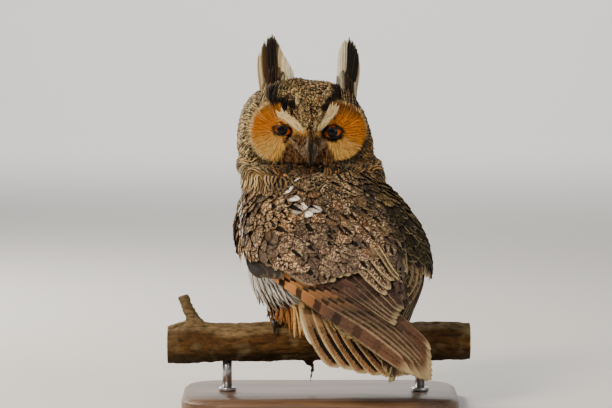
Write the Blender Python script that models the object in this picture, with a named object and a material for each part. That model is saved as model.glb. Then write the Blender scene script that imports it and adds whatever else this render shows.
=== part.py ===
"""A life-size long-eared owl on a cut length of branch, held up by a plain display stand.

The owl's body faces away from the viewer at -Y and its head looks back over its left shoulder.
Sizes are in millimetres and new_solid turns them into metres; +Z is up, and the origin is the
centre of the base's underside.
"""

import itertools
import math

import bmesh
import bpy
import numpy as np
from mathutils import Matrix, Vector

# Driving sizes
MM = 0.001
GAP = 0.35
BASE_LENGTH, BASE_DEPTH, BASE_THICKNESS = 230.0, 156.0, 11.0
BASE_CORNER, BASE_BEVEL = 34.0, 2.5
ROD_RADIUS, ROD_BITE = 4.0, 8.0
ROD_PLACES = (-78.0, 84.0)
PERCH_RADIUS, PERCH_TOP = 17.0, 70.0
PERCH_LEFT, PERCH_RIGHT = -128.0, 126.0
BODY_YAW = math.radians(26.0)
HEAD_CENTRE = Vector((-14.0, 27.0, PERCH_TOP + 163.0))
HEAD_YAW, HEAD_PITCH, HEAD_ROLL = (math.radians(a) for a in (5.5, 3.0, 3.0))
HEAD_HALF = (54.0, 39.0, 46.0)
HEAD_LOW = 72.0
EYE_RADIUS, EYE_SPREAD, EYE_DEPTH = 10.5, 21.0, 27.0
VANE_THICKNESS, ROOT_SINK, ROLL = 0.56, 6.0, 0.2
TAIL_LENGTH = 110.0

# The torso and neck as level slices, heights counted from the top of the perch:
# height, centre (forward +), half width, reach to the front, reach to the back
TORSO_SLICES = (
    (15.0, -1.0, 28.0, 27.0, 33.0),
    (18.0, -1.0, 38.0, 36.0, 44.0),
    (23.0, -2.0, 47.0, 45.0, 54.0),
    (31.0, -3.0, 56.0, 53.0, 63.0),
    (45.0, -5.0, 62.0, 59.0, 69.0),
    (62.0, -5.0, 65.0, 61.0, 67.0),
    (82.0, -2.0, 66.0, 61.0, 65.0),
    (100.0, 5.0, 64.0, 57.0, 63.0),
    (113.0, 12.0, 62.0, 53.0, 60.0),
    (128.0, 21.0, 61.0, 46.0, 54.0),
    (146.0, 27.0, 58.0, 44.0, 48.0),
    (166.0, 29.0, 54.0, 42.0, 44.0),
)

# A folded wing's outer surface as stations from the shoulder to the tip, in the bird's frame
# (right +, forward +, above the perch): lower edge, middle, upper edge
LEFT_WING = (
    ((-60, 42, 76), (-66, 24, 106), (-48, 2, 126)),
    ((-69, 16, 59), (-70, -14, 92), (-30, -40, 119)),
    ((-73, -10, 47), (-62, -50, 76), (-6, -62, 106)),
    ((-69, -38, 38), (-44, -80, 58), (12, -77, 82)),
    ((-60, -64, 27), (-33, -100, 42), (18, -98, 56)),
    ((-47, -90, 14), (-21, -117, 26), (18, -118, 32)),
    ((-30, -116, -1), (-9, -134, 10), (17, -136, 13)),
    ((-9, -142, -19), (5, -150, -10), (23, -151, -5)),
    ((12, -164, -36), (18, -165, -32), (23, -164, -26)),
)
RIGHT_WING = (
    ((60, 42, 76), (66, 24, 106), (48, 2, 126)),
    ((70, 16, 59), (71, -16, 95), (32, -38, 119)),
    ((76, -10, 47), (72, -46, 80), (22, -60, 104)),
    ((74, -38, 34), (66, -72, 60), (28, -76, 80)),
    ((58, -64, 18), (54, -92, 39), (26, -92, 50)),
    ((44, -88, 9), (34, -107, 16), (14, -107, 23)),
    ((26, -112, -6), (14, -123, -6), (-2, -120, -4)),
    ((7, -134, -26), (0, -137, -25), (-8, -134, -24)),
    ((-11, -150, -39), (-8, -152, -36), (-4, -151, -32)),
)

COLOURS = {
    "back_feathers": ("6B5440", 0.85),
    "ruff_feathers": ("8A6A43", 0.85),
    "face_feathers": ("B98246", 0.85),
    "wing_feathers": ("5C4838", 0.8),
    "tail_feathers": ("7A6048", 0.8),
    "leg_feathers": ("A9733F", 0.85),
    "tuft_feathers": ("3A2E26", 0.85),
    "eye": ("E0701C", 0.08),
    "bill_horn": ("2B2724", 0.35),
    "claw_horn": ("1E1A18", 0.3),
    "perch_bark": ("5A4228", 0.9),
    "stand_wood": ("4A3222", 0.45),
    "stand_steel": ("8C8C8C", 0.3),
}


def linear(hex_colour):
    """A material's colour from its sRGB hex value."""
    parts = [int(hex_colour[i : i + 2], 16) / 255 for i in (0, 2, 4)]
    return [p / 12.92 if p <= 0.04045 else ((p + 0.055) / 1.055) ** 2.4 for p in parts] + [1.0]


def make_materials():
    made = {}
    for name, (colour, roughness) in COLOURS.items():
        material = bpy.data.materials.new(name)
        material.use_nodes = True
        shader = material.node_tree.nodes["Principled BSDF"]
        shader.inputs["Base Color"].default_value = linear(colour)
        shader.inputs["Roughness"].default_value = roughness
        shader.inputs["Metallic"].default_value = 1.0 if name == "stand_steel" else 0.0
        made[name] = material
    return made


def new_solid(name, points, faces, material=None):
    """A closed mesh object from points in millimetres, its faces turned outwards."""
    mesh = bpy.data.meshes.new(name)
    mesh.from_pydata([tuple(float(c) * MM for c in p) for p in points], [], faces)
    shell = bmesh.new()
    shell.from_mesh(mesh)
    bmesh.ops.recalc_face_normals(shell, faces=shell.faces)
    shell.to_mesh(mesh)
    shell.free()
    if material:
        mesh.materials.append(material)
    obj = bpy.data.objects.new(name, mesh)
    bpy.context.scene.collection.objects.link(obj)
    return obj


def drop(obj):
    mesh = obj.data
    bpy.data.objects.remove(obj)
    bpy.data.meshes.remove(mesh)


def finish(obj, angle=50.0):
    """Smooth shading with the sharp edges kept."""
    obj.data.shade_smooth()
    obj.data.set_sharp_from_angle(angle=math.radians(angle))
    return obj


# Closed shapes


def loft(rings):
    """Points and faces of a closed tube through rings of equally many points."""
    count = len(rings[0])
    points = [p for ring in rings for p in ring]
    faces = []
    for r in range(len(rings) - 1):
        for i in range(count):
            j = (i + 1) % count
            low, high = r * count, (r + 1) * count
            faces.append((low + i, low + j, high + j, high + i))
    faces.append(tuple(reversed(range(count))))
    faces.append(tuple(range((len(rings) - 1) * count, len(rings) * count)))
    return points, faces


def tube(path, radii, sides):
    """Rings round a path, each square to the path where it stands."""
    rings = []
    side = None
    for i, centre in enumerate(path):
        along = (path[min(i + 1, len(path) - 1)] - path[max(i - 1, 0)]).normalized()
        if side is None:
            side = along.orthogonal().normalized()
        side = (side - along * side.dot(along)).normalized()
        other = along.cross(side)
        ring = []
        for k in range(sides):
            turn = 2 * math.pi * k / sides
            ring.append(centre + radii[i] * (math.cos(turn) * side + math.sin(turn) * other))
        rings.append(ring)
    return loft(rings)


def slab(grid_top, grid_under):
    """A closed plate between two grids of points, split into triangles alike on both faces."""
    rows, columns = len(grid_top), len(grid_top[0])
    points = [p for row in grid_top for p in row] + [p for row in grid_under for p in row]
    under = rows * columns

    def at(r, c):
        return r * columns + c

    faces = []
    for r in range(rows - 1):
        for c in range(columns - 1):
            a, b, d, e = at(r, c), at(r, c + 1), at(r + 1, c + 1), at(r + 1, c)
            faces += [(a, b, d), (a, d, e)]
            faces += [(d + under, b + under, a + under), (e + under, d + under, a + under)]
    rim = [at(0, c) for c in range(columns)]
    rim += [at(r, columns - 1) for r in range(1, rows)]
    rim += [at(rows - 1, c) for c in range(columns - 2, -1, -1)]
    rim += [at(r, 0) for r in range(rows - 2, 0, -1)]
    for i, a in enumerate(rim):
        b = rim[(i + 1) % len(rim)]
        faces += [(b, a, a + under), (b, a + under, b + under)]
    return points, faces


def ball(centre, radius, rings=9, sides=16, stretch=(1.0, 1.0, 1.0), along="Z"):
    """Points and faces of a sphere, or of an ellipsoid where stretch says so."""
    points = [(0, 0, 1)]
    for r in range(1, rings):
        polar = math.pi * r / rings
        for k in range(sides):
            turn = 2 * math.pi * k / sides
            points.append(
                (math.sin(polar) * math.cos(turn), math.sin(polar) * math.sin(turn), math.cos(polar))
            )
    points.append((0, 0, -1))
    if along == "Y":
        points = [(x, -z, y) for x, y, z in points]
    last = len(points) - 1
    faces = [(0, 1 + k, 1 + (k + 1) % sides) for k in range(sides)]
    for r in range(rings - 2):
        for k in range(sides):
            a, b = 1 + r * sides + k, 1 + r * sides + (k + 1) % sides
            faces.append((a, a + sides, b + sides, b))
    low = 1 + (rings - 2) * sides
    faces += [(last, low + (k + 1) % sides, low + k) for k in range(sides)]
    placed = [Vector(centre) + Vector([radius * s * c for s, c in zip(stretch, p)]) for p in points]
    return placed, faces


# Joining and cutting


def apply_boolean(obj, operation, other=None, collection=None, solver="EXACT"):
    """Runs one Boolean on obj and keeps its result as the mesh."""
    modifier = obj.modifiers.new("join", "BOOLEAN")
    modifier.operation = operation
    modifier.solver = solver
    if collection:
        modifier.operand_type = "COLLECTION"
        modifier.collection = collection
    else:
        modifier.object = other
    graph = bpy.context.evaluated_depsgraph_get()
    made = bpy.data.meshes.new_from_object(obj.evaluated_get(graph))
    old = obj.data
    obj.modifiers.clear()
    obj.data = made
    bpy.data.meshes.remove(old)
    return obj


def keep_largest(obj):
    """Leaves only the largest closed surface of a node."""
    shell = bmesh.new()
    shell.from_mesh(obj.data)
    left = set(shell.verts)
    groups = []
    while left:
        group, edge = set(), [left.pop()]
        while edge:
            vertex = edge.pop()
            group.add(vertex)
            for link in vertex.link_edges:
                other = link.other_vert(vertex)
                if other in left:
                    left.discard(other)
                    edge.append(other)
        groups.append(group)
    largest = max(groups, key=len)
    bmesh.ops.delete(shell, geom=[v for v in shell.verts if v not in largest], context="VERTS")
    shell.to_mesh(obj.data)
    shell.free()
    return obj


def fuse(obj, pieces, solver="EXACT"):
    """Joins closed pieces into obj with one union, and removes them."""
    held = bpy.data.collections.new("pieces")
    bpy.context.scene.collection.children.link(held)
    for piece in pieces:
        bpy.context.scene.collection.objects.unlink(piece)
        held.objects.link(piece)
    apply_boolean(obj, "UNION", collection=held, solver=solver)
    for piece in pieces:
        drop(piece)
    bpy.data.collections.remove(held)
    return keep_largest(obj)


def grown(obj, gap):
    """A copy of obj with its surface moved outwards by gap."""
    shell = bmesh.new()
    shell.from_mesh(obj.data)
    bmesh.ops.triangulate(shell, faces=shell.faces)
    shell.normal_update()
    for vertex in shell.verts:
        vertex.co += vertex.normal * (gap * MM * vertex.calc_shell_factor())
    mesh = bpy.data.meshes.new("grown")
    shell.to_mesh(mesh)
    shell.free()
    copy = bpy.data.objects.new("grown", mesh)
    bpy.context.scene.collection.objects.link(copy)
    return copy


def clear_of(obj, *others, solver="EXACT"):
    """Cuts obj back so that it meets each of the others face to face with a small gap."""
    for other in others:
        cutter = grown(other, GAP)
        apply_boolean(obj, "DIFFERENCE", other=cutter, solver=solver)
        drop(cutter)
    return keep_largest(obj)


def clear_of_vanes(obj, other):
    """Cuts obj back from a node of thin vanes, using the node moved a little each way."""
    for steps in itertools.product((-GAP, 0.0, GAP), repeat=3):
        other.location = Vector(steps) * MM
        bpy.context.view_layer.update()
        apply_boolean(obj, "DIFFERENCE", other=other, solver="MANIFOLD")
    other.location = (0, 0, 0)
    bpy.context.view_layer.update()
    return keep_largest(obj)


def cut_flat(obj, point, normal):
    """Takes away what lies beyond a plane and closes the cut with a flat face."""
    shell = bmesh.new()
    shell.from_mesh(obj.data)
    cut = bmesh.ops.bisect_plane(
        shell,
        geom=shell.verts[:] + shell.edges[:] + shell.faces[:],
        plane_co=Vector(point) * MM,
        plane_no=normal,
        clear_outer=True,
    )
    rim = [e for e in cut["geom_cut"] if isinstance(e, bmesh.types.BMEdge)]
    bmesh.ops.contextual_create(shell, geom=rim)
    bmesh.ops.recalc_face_normals(shell, faces=shell.faces)
    shell.to_mesh(obj.data)
    shell.free()
    return obj


# Frames of the body and the head


def from_bird(right, forward, up):
    """A world point from the bird's own directions, counted from the top of the perch."""
    sin, cos = math.sin(BODY_YAW), math.cos(BODY_YAW)
    return Vector((cos * right - sin * forward, sin * right + cos * forward, PERCH_TOP + up))


def head_turn():
    return (
        Matrix.Rotation(HEAD_YAW, 3, "Z")
        @ Matrix.Rotation(HEAD_PITCH, 3, "X")
        @ Matrix.Rotation(HEAD_ROLL, 3, "Y")
    )


def from_head(across, front, up):
    """A world point from the head's own directions: viewer's right, out of the face, up."""
    return HEAD_CENTRE + head_turn() @ Vector((across, -front, up))


def through(rows, place):
    """Values on a smooth curve through rows, the first value of each row being its place."""
    places = [row[0] for row in rows]
    i = max(0, min(len(rows) - 2, sum(1 for p in places[1:] if p <= place)))
    before, after = rows[max(i - 1, 0)], rows[min(i + 2, len(rows) - 1)]
    low, high = rows[i], rows[i + 1]
    span = high[0] - low[0]
    t = (place - low[0]) / span
    values = []
    for k in range(1, len(low)):
        start = (high[k] - before[k]) / (high[0] - before[0]) * span
        end = (after[k] - low[k]) / (after[0] - low[0]) * span
        values.append(
            (2 * t**3 - 3 * t**2 + 1) * low[k]
            + (t**3 - 2 * t**2 + t) * start
            + (3 * t**2 - 2 * t**3) * high[k]
            + (t**3 - t**2) * end
        )
    return values


def smooth(value, low, high):
    """0 below low, 1 above high, and an even rise between them."""
    t = max(0.0, min(1.0, (value - low) / (high - low)))
    return t * t * (3 - 2 * t)


# Torso and neck


def torso_ring(height, sides, squareness=2.25):
    centre, half, front, back = through(TORSO_SLICES, height)
    ring = []
    for k in range(sides):
        turn = 2 * math.pi * k / sides
        c, s = math.cos(turn), math.sin(turn)
        across = half * math.copysign(abs(c) ** (2 / squareness), c)
        reach = front if s > 0 else back
        ring.append(
            from_bird(across, centre + reach * math.copysign(abs(s) ** (2 / squareness), s), height)
        )
    return ring


def body_column(name, material=None):
    heights = [15, 18, 23, 31, 38, 45, 54, 63, 72, 82, 92, 102, 112, 122, 132, 142, 154, 166]
    points, faces = loft([torso_ring(h, 36) for h in heights])
    return new_solid(name, points, faces, material)


def vent_feathers():
    """The soft feathers behind the legs, down to the underside of the tail."""
    path = [from_bird(-4 - 2 * t, -27 - 61 * t, 43 - 50 * t) for t in (0, 0.2, 0.4, 0.6, 0.8, 0.94, 1)]
    points, faces = tube(path, [26, 28, 27, 24, 19, 12, 6], 18)
    return new_solid("vent", points, faces)


def clear_of_torso(obj, solver="EXACT"):
    """Cuts obj back from the torso's two round masses, one after the other."""
    masses = [body_column("mass"), vent_feathers()]
    clear_of(obj, *masses, solver=solver)
    for mass in masses:
        drop(mass)
    return obj


NECK_LOW_POINT, NECK_LOW_NORMAL = from_bird(0, 20, 112), Vector((0.0, 0.13, 0.99)).normalized()
NECK_TOP_POINT, NECK_TOP_NORMAL = from_bird(0, 28, 136.5), Vector((0.03, -0.2, 0.98)).normalized()


def make_torso(materials):
    torso = body_column("torso", materials["back_feathers"])
    fuse(torso, [vent_feathers()])
    return finish(cut_flat(torso, NECK_LOW_POINT, NECK_LOW_NORMAL))


def make_neck(materials):
    neck = body_column("neck", materials["ruff_feathers"])
    cut_flat(neck, NECK_LOW_POINT + GAP * NECK_LOW_NORMAL, -NECK_LOW_NORMAL)
    return finish(cut_flat(neck, NECK_TOP_POINT, NECK_TOP_NORMAL))


# Head


def eye_reach(across, up):
    """Distance from the nearer eye's centre, seen from the front."""
    return math.hypot(abs(across) - EYE_SPREAD, up + 1.0)


def face_relief(across, up):
    """How far the face stands out from the plain head: dishes, rims, brows and bill ridge."""
    side = abs(across)
    reach = eye_reach(across, up)
    forehead = smooth(up - 1.0 - 0.95 * (side - 4.0), 0.0, 8.0)
    ridge = math.exp(-((across / 7.5) ** 2)) * (1 - smooth(up, 2.0, 12.0))
    dish = -8.5 * (1 - smooth(reach, 10.0, 28.0)) * (1 - forehead) * (1 - 0.9 * ridge)
    rim = 2.4 * math.exp(-(((reach - 30.0) / 3.0) ** 2)) * (1 - forehead)
    rim *= smooth(side, 6.0, 14.0)
    brow_line = (up + 3.0) - 0.92 * (side - 4.0)
    brow = 3.4 * math.exp(-((brow_line / 4.2) ** 2)) * smooth(side, 1.5, 5.0)
    brow *= 1 - smooth(side, 24.0, 32.0)
    bill_ridge = 6.0 * ridge * smooth(up, -36.0, -24.0)
    return dish + rim + brow + bill_ridge + 1.5 * forehead


def head_point(polar, turn, squareness=2.35):
    c, s = math.cos(polar), math.sin(polar)
    flat = abs(s) ** (2 / squareness)
    cos_t, sin_t = math.cos(turn), math.sin(turn)
    across = HEAD_HALF[0] * flat * math.copysign(abs(cos_t) ** (2 / 2.15), cos_t)
    high = HEAD_HALF[1] if sin_t > 0 else HEAD_LOW
    up = high * flat * math.copysign(abs(sin_t) ** (2 / 2.15), sin_t)
    across *= 1 + (0.20 if across > 0 else 0.07) * smooth(-up, -14.0, 32.0)
    front = HEAD_HALF[2] * math.copysign(abs(c) ** (2 / squareness), c)
    front += face_relief(across, up) * smooth(c, 0.12, 0.42)
    return from_head(across, front, up)


def head_shell(name, material):
    sides = 50
    polars = [0.045 * math.pi * k for k in range(1, 13)] + [
        math.pi * p for p in (0.6, 0.66, 0.73, 0.81, 0.89, 0.96)
    ]
    points = [from_head(0, HEAD_HALF[2] + face_relief(0, 0), 0)]
    for polar in polars:
        points += [head_point(polar, 2 * math.pi * k / sides) for k in range(sides)]
    points.append(from_head(0, -HEAD_HALF[2], 0))
    last = len(points) - 1
    faces = [(0, 1 + k, 1 + (k + 1) % sides) for k in range(sides)]
    for r in range(len(polars) - 1):
        for k in range(sides):
            a, b = 1 + r * sides + k, 1 + r * sides + (k + 1) % sides
            faces.append((a, a + sides, b + sides, b))
    low = 1 + (len(polars) - 1) * sides
    faces += [(last, low + (k + 1) % sides, low + k) for k in range(sides)]
    return new_solid(name, points, faces, material)


def eye_centre(side):
    return from_head(side * EYE_SPREAD, EYE_DEPTH, -1.0)


def eye_opening(side):
    """A prism through the lids: flat above, rounder below, slanting down to the bill."""
    outline = []
    for k in range(14):
        turn = 2 * math.pi * k / 14
        c, s = math.cos(turn), math.sin(turn)
        across = 8.6 * c
        up = (4.6 if s > 0 else 6.2) * s + 0.16 * side * across
        outline.append((across, up))
    rings = [
        [from_head(side * EYE_SPREAD + a, EYE_DEPTH + front, -1.0 + u) for a, u in outline]
        for front in (2.0, 24.0)
    ]
    points, faces = loft(rings)
    return new_solid("opening", points, faces)


def make_head(materials):
    head = head_shell("head", materials["face_feathers"])
    lids = []
    for side in (-1, 1):
        points, faces = ball(eye_centre(side), EYE_RADIUS + 1.7, 10, 18, along="Y")
        lids.append(new_solid("lids", points, faces))
    fuse(head, lids)
    for side in (-1, 1):
        points, faces = ball(eye_centre(side), EYE_RADIUS + GAP, 10, 18, along="Y")
        socket = new_solid("socket", points, faces)
        apply_boolean(head, "DIFFERENCE", other=socket)
        drop(socket)
        opening = eye_opening(side)
        apply_boolean(head, "DIFFERENCE", other=opening)
        drop(opening)
    cut_flat(head, NECK_TOP_POINT + GAP * NECK_TOP_NORMAL, -NECK_TOP_NORMAL)
    return finish(keep_largest(head), 60)


def make_eyes(materials):
    for side, name in ((-1, "eye_right"), (1, "eye_left")):
        points, faces = ball(eye_centre(side), EYE_RADIUS, 10, 18, along="Y")
        finish(new_solid(name, points, faces, materials["eye"]), 80)


def bill_path(drop_at_tip, start_front, steps):
    """The bill's centre line, from inside the bristles to its hooked tip."""
    path = []
    for k in range(steps + 1):
        t = k / steps
        front = start_front + 12.0 * math.sin(1.75 * t) / math.sin(1.57)
        path.append(from_head(0, front, -9.0 - drop_at_tip * t**1.15))
    return path


def make_bill(head, materials):
    upper = bill_path(21.5, 41.0, 9)
    radii = [5.2 * (1 - (k / 9) ** 2.2) + 0.5 for k in range(10)]
    points, faces = tube(upper, radii, 12)
    bill = new_solid("bill_upper", points, faces, materials["bill_horn"])
    pits = []
    for side in (-1, 1):
        centre = from_head(side * 4.6, 51.5, -14.5)
        pit, pit_faces = ball(centre, 1.3, 5, 8)
        pits.append(new_solid("nostril", pit, pit_faces))
    for pit in pits:
        apply_boolean(bill, "DIFFERENCE", other=pit)
        drop(pit)
    lower = [from_head(0, 40.0 + 7.0 * t, -22.0 - 9.0 * t) for t in (0, 0.3, 0.55, 0.8, 1.0)]
    points, faces = tube(lower, [4.6, 4.2, 3.5, 2.4, 0.9], 10)
    under = new_solid("bill_lower", points, faces, materials["bill_horn"])
    clear_of(under, bill)
    clear_of(bill, head)
    clear_of(under, head)
    finish(bill)
    finish(under)


# Feathers


# How wide a feather is along its length, as (place, share of its widest)
LONG_SHAPE = ((0.0, 0.4), (0.35, 0.8), (0.72, 1.0), (0.92, 0.78), (1.0, 0.3))
SHORT_SHAPE = ((0.0, 0.6), (0.5, 1.0), (0.84, 0.82), (1.0, 0.32))


def vane(spine, across, out, halves, roll=0.0, columns=2):
    """One closed feather along a spine of points, with a direction across and one out at each."""
    top, under = [], []
    for i, centre in enumerate(spine):
        above, below = [], []
        for k in range(columns):
            place = (2 * k / (columns - 1) - 1) * halves[i]
            middle = centre + across[i] * place + out[i] * (roll * place)
            above.append(middle + out[i] * (VANE_THICKNESS / 2))
            below.append(middle - out[i] * (VANE_THICKNESS / 2))
        top.append(above)
        under.append(below)
    points, faces = slab(top, under)
    return new_solid("vane", points, faces)


def blend(first, last, share):
    """A value between two numbers, or between two pairs of them."""
    if isinstance(first, tuple):
        return tuple(blend(f, l, share) for f, l in zip(first, last))
    return first + (last - first) * share


# Wings


class WingSurface:
    """The smooth outer surface of a folded wing: along 0 to 1 to the tip, across 0 to 1 upwards."""

    def __init__(self, stations):
        self.rows = []
        last = len(stations) - 1
        for i, (lower, middle, upper) in enumerate(stations):
            self.rows.append((i / last, *lower, *middle, *upper))
        self.side = 1 if stations[0][0][0] < 0 else -1

    def point(self, along, across):
        values = through(self.rows, max(0.0, min(1.0, along)))
        low, mid, high = (Vector(values[i : i + 3]) for i in (0, 3, 6))
        control = 2 * mid - 0.5 * (low + high)
        t = across
        bird = (1 - t) ** 2 * low + 2 * t * (1 - t) * control + t * t * high
        return from_bird(*bird)

    def normal(self, along, across):
        step = 0.01
        a = self.point(min(along + step, 1), across) - self.point(max(along - step, 0), across)
        b = self.point(along, across + step) - self.point(along, across - step)
        return (a.cross(b) * self.side).normalized()


# The wing's flesh: rows and columns of points, where it ends along the wing, the margin at its
# edges, how far it lies under the surface at the shoulder and beyond, and its thickness
CORE_ROWS, CORE_COLUMNS, CORE_END, CORE_MARGIN = 6, 4, 0.52, 0.03
CORE_DROP, CORE_DROP_MORE = 2.6, 3.6
CORE_THIN, CORE_DEPTH = 2.4, 12.0


def wing_core(surface, name, material):
    """The flesh of the wing under its feathers, deepest where it lies on the body."""
    top, under = [], []
    for i in range(CORE_ROWS):
        along = CORE_END * i / (CORE_ROWS - 1)
        drop_in = CORE_DROP + CORE_DROP_MORE * smooth(along, 0.05, 0.4)
        above, below = [], []
        for k in range(CORE_COLUMNS):
            across = CORE_MARGIN + (1 - 2 * CORE_MARGIN) * k / (CORE_COLUMNS - 1)
            out = surface.normal(along, across)
            bulge = math.sin(math.pi * min(0.95, max(0.14, across)))
            taper = 1 - smooth(along, 0.3, CORE_END)
            deep = CORE_THIN + (CORE_DEPTH - CORE_THIN) * taper * bulge
            spot = surface.point(along, across)
            above.append(spot - out * drop_in)
            below.append(spot - out * (drop_in + deep))
        top.append(above)
        under.append(below)
    points, faces = slab(top, under)
    return new_solid(name, points, faces, material)


def wing_vane(surface, root, tip, half_width, height, shape, roll):
    """A feather that leaves the wing's flesh at root and lies along its surface to tip."""
    spots, normals = [], []
    for share, _ in shape:
        along, across = blend(root, tip, share)
        out = surface.normal(min(along, 0.985), across)
        sink = ROOT_SINK * (1 - share) ** 1.4
        spots.append(surface.point(along, across) + out * (height - sink))
        normals.append(out)
    sides = []
    last = len(spots) - 1
    for i in range(last + 1):
        run = spots[min(i + 1, last)] - spots[max(i - 1, 0)]
        sides.append(normals[i].cross(run).normalized() * surface.side)
    return vane(spots, sides, normals, [half_width * width for _, width in shape], roll)


# The tiers of a folded wing: how many feathers, then for the lowest and the highest of them the
# root and the tip as (along, across), then the height over the wing's surface
WING_TIERS = {
    "secondaries": (5, (0.42, 0.46), (0.76, 0.70), (0.40, 0.86), (0.68, 0.95), -1.6),
    "primary_coverts": (3, (0.25, 0.08), (0.41, 0.09), (0.26, 0.24), (0.45, 0.27), -1.4),
    "greater_coverts": (5, (0.27, 0.37), (0.49, 0.44), (0.28, 0.86), (0.50, 0.86), -0.9),
    "median_coverts": (6, (0.13, 0.13), (0.33, 0.16), (0.15, 0.86), (0.37, 0.84), -0.5),
    "tertials": (3, (0.36, 0.80), (0.66, 0.86), (0.32, 0.95), (0.56, 0.98), 0.6),
    "lesser_coverts": (5, (0.01, 0.20), (0.19, 0.22), (0.02, 0.84), (0.24, 0.82), 0.0),
}
# Where each primary ends, the outermost first, as (along, across)
PRIMARY_TIPS = (
    (0.95, 0.12),
    (0.99, 0.30),
    (1.0, 0.56),
    (0.985, 0.78),
    (0.955, 0.94),
    (0.90, 1.02),
)
OVERLAP = 0.70
PRIMARY_LOW, PRIMARY_RISE = -5.2, 3.2
# Where the first and the last primary leave the wing, as (along, across)
PRIMARY_ROOTS = ((0.37, 0.05), (0.40, 0.43))
# A vane that ends beyond this share of the wing has the long shape, and the others the short one
LONG_FROM = 0.6


def tier(surface, roots, tips, heights, shape, roll=ROLL):
    """A row of feathers, each as wide as its neighbours' spacing needs for them to overlap."""
    vanes = []
    for i, (root, tip, height) in enumerate(zip(roots, tips, heights)):
        near = i - 1 if i else 1
        here = surface.point(*blend(root, tip, 0.55))
        there = surface.point(*blend(roots[near], tips[near], 0.55))
        half = OVERLAP * (here - there).length
        vanes.append(wing_vane(surface, root, tip, half, height, shape, roll))
    return vanes


def make_wing(name, stations, materials):
    surface = WingSurface(stations)
    wing = wing_core(surface, name, materials["wing_feathers"])
    shares = [i / (len(PRIMARY_TIPS) - 1) for i in range(len(PRIMARY_TIPS))]
    roots = [blend(*PRIMARY_ROOTS, share) for share in shares]
    heights = [PRIMARY_LOW + PRIMARY_RISE * share for share in shares]
    vanes = tier(surface, roots, PRIMARY_TIPS, heights, LONG_SHAPE, -ROLL)
    for count, root_a, tip_a, root_b, tip_b, height in WING_TIERS.values():
        shares = [i / (count - 1) for i in range(count)]
        roots = [blend(root_a, root_b, share) for share in shares]
        tips = [blend(tip_a, tip_b, share) for share in shares]
        shape = LONG_SHAPE if tip_a[0] > LONG_FROM else SHORT_SHAPE
        vanes += tier(surface, roots, tips, [height] * count, shape)
    fuse(wing, vanes, solver="MANIFOLD")
    clear_of_torso(wing, solver="MANIFOLD")
    return finish(wing)


# Tail

TAIL_ROOT = from_bird(-2, -50, 38)
TAIL_TIP = from_bird(-10, -115, -30)
TAIL_SIDE, TAIL_SINK = 5, 7.0
# The tail's flesh: place along the tail, half width, half thickness
TAIL_CORE = ((-0.08, 13.0, 4.0), (0.12, 15.0, 4.0), (0.3, 15.0, 3.0), (0.42, 12.0, 1.4))
# How wide a tail feather is along its length, as (place, share of its widest)
TAIL_SHAPE = ((0.0, 0.6), (0.4, 0.85), (0.8, 1.0), (0.94, 0.8), (1.0, 0.36))
TAIL_HALF, TAIL_CORE_DROP = 8.6, 5.6
# The feathers' spacing at the root and what it gains to the tip, and where each starts and ends
TAIL_SPACING, TAIL_SPREAD = 2.2, 3.0
TAIL_START, TAIL_REACH, TAIL_SHORTER = 0.03, 0.85, 0.07
# The middle feather's height, how far each next one lies lower, and the curve across the tail
TAIL_LIFT, TAIL_STEP, TAIL_CURVE = 0.4, 0.95, 0.008


def tail_axes():
    along = (TAIL_TIP - TAIL_ROOT).normalized()
    right = (from_bird(1, 0, 0) - from_bird(0, 0, 0)).normalized()
    right = (right - along * right.dot(along)).normalized()
    return along, right, right.cross(along)


def make_tail(wings, materials):
    """Eleven feathers, the middle one on top and each outer one lying under its neighbour."""
    along, right, out = tail_axes()
    rings = []
    for share, half, thick in TAIL_CORE:
        centre = TAIL_ROOT + along * (share * TAIL_LENGTH) - out * TAIL_CORE_DROP
        ring = []
        for k in range(12):
            turn = 2 * math.pi * k / 12
            ring.append(centre + right * half * math.cos(turn) + out * thick * math.sin(turn))
        rings.append(ring)
    points, faces = loft(rings)
    tail = new_solid("tail", points, faces, materials["tail_feathers"])
    vanes = []
    for i in range(-TAIL_SIDE, TAIL_SIDE + 1):
        outer = abs(i) / TAIL_SIDE
        spots, sides, normals = [], [], []
        for share, _ in TAIL_SHAPE:
            x = i * (TAIL_SPACING + TAIL_SPREAD * share)
            lift = TAIL_LIFT - TAIL_STEP * abs(i) - TAIL_CURVE * x * x
            lift -= TAIL_SINK * (1 - share) ** 1.5
            reach = TAIL_START + share * (TAIL_REACH - TAIL_SHORTER * outer**2)
            spots.append(TAIL_ROOT + along * (reach * TAIL_LENGTH) + right * x + out * lift)
            tilt = (right - out * (2 * TAIL_CURVE * x)).normalized()
            sides.append(tilt)
            normals.append(tilt.cross(along).normalized())
        vanes.append(vane(spots, sides, normals, [TAIL_HALF * width for _, width in TAIL_SHAPE]))
    fuse(tail, vanes, solver="MANIFOLD")
    clear_of_torso(tail, solver="MANIFOLD")
    for wing in wings:
        clear_of_vanes(tail, wing)
    return finish(tail)


# Legs, feet and claws

FOOT_PLACES = {"left": -28.0, "right": 25.0}
ANKLE_HEIGHT = 7.0
# Each toe: sideways spread at its end, how far round the perch it reaches, and its claw's turn
TOES = {
    "inner": (9.0, 84.0, 132.0),
    "middle": (-5.0, 92.0, 146.0),
    "outer": (-10.0, -30.0, -64.0),
    "hind": (6.0, -26.0, -58.0),
}


def round_perch(x, degrees, reach):
    """A point beside the perch: 0 degrees on top, 90 on the far side, -90 on the near side."""
    turn = math.radians(degrees)
    axis = PERCH_TOP - PERCH_RADIUS
    return Vector((x, reach * math.sin(turn), axis + reach * math.cos(turn)))


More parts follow.
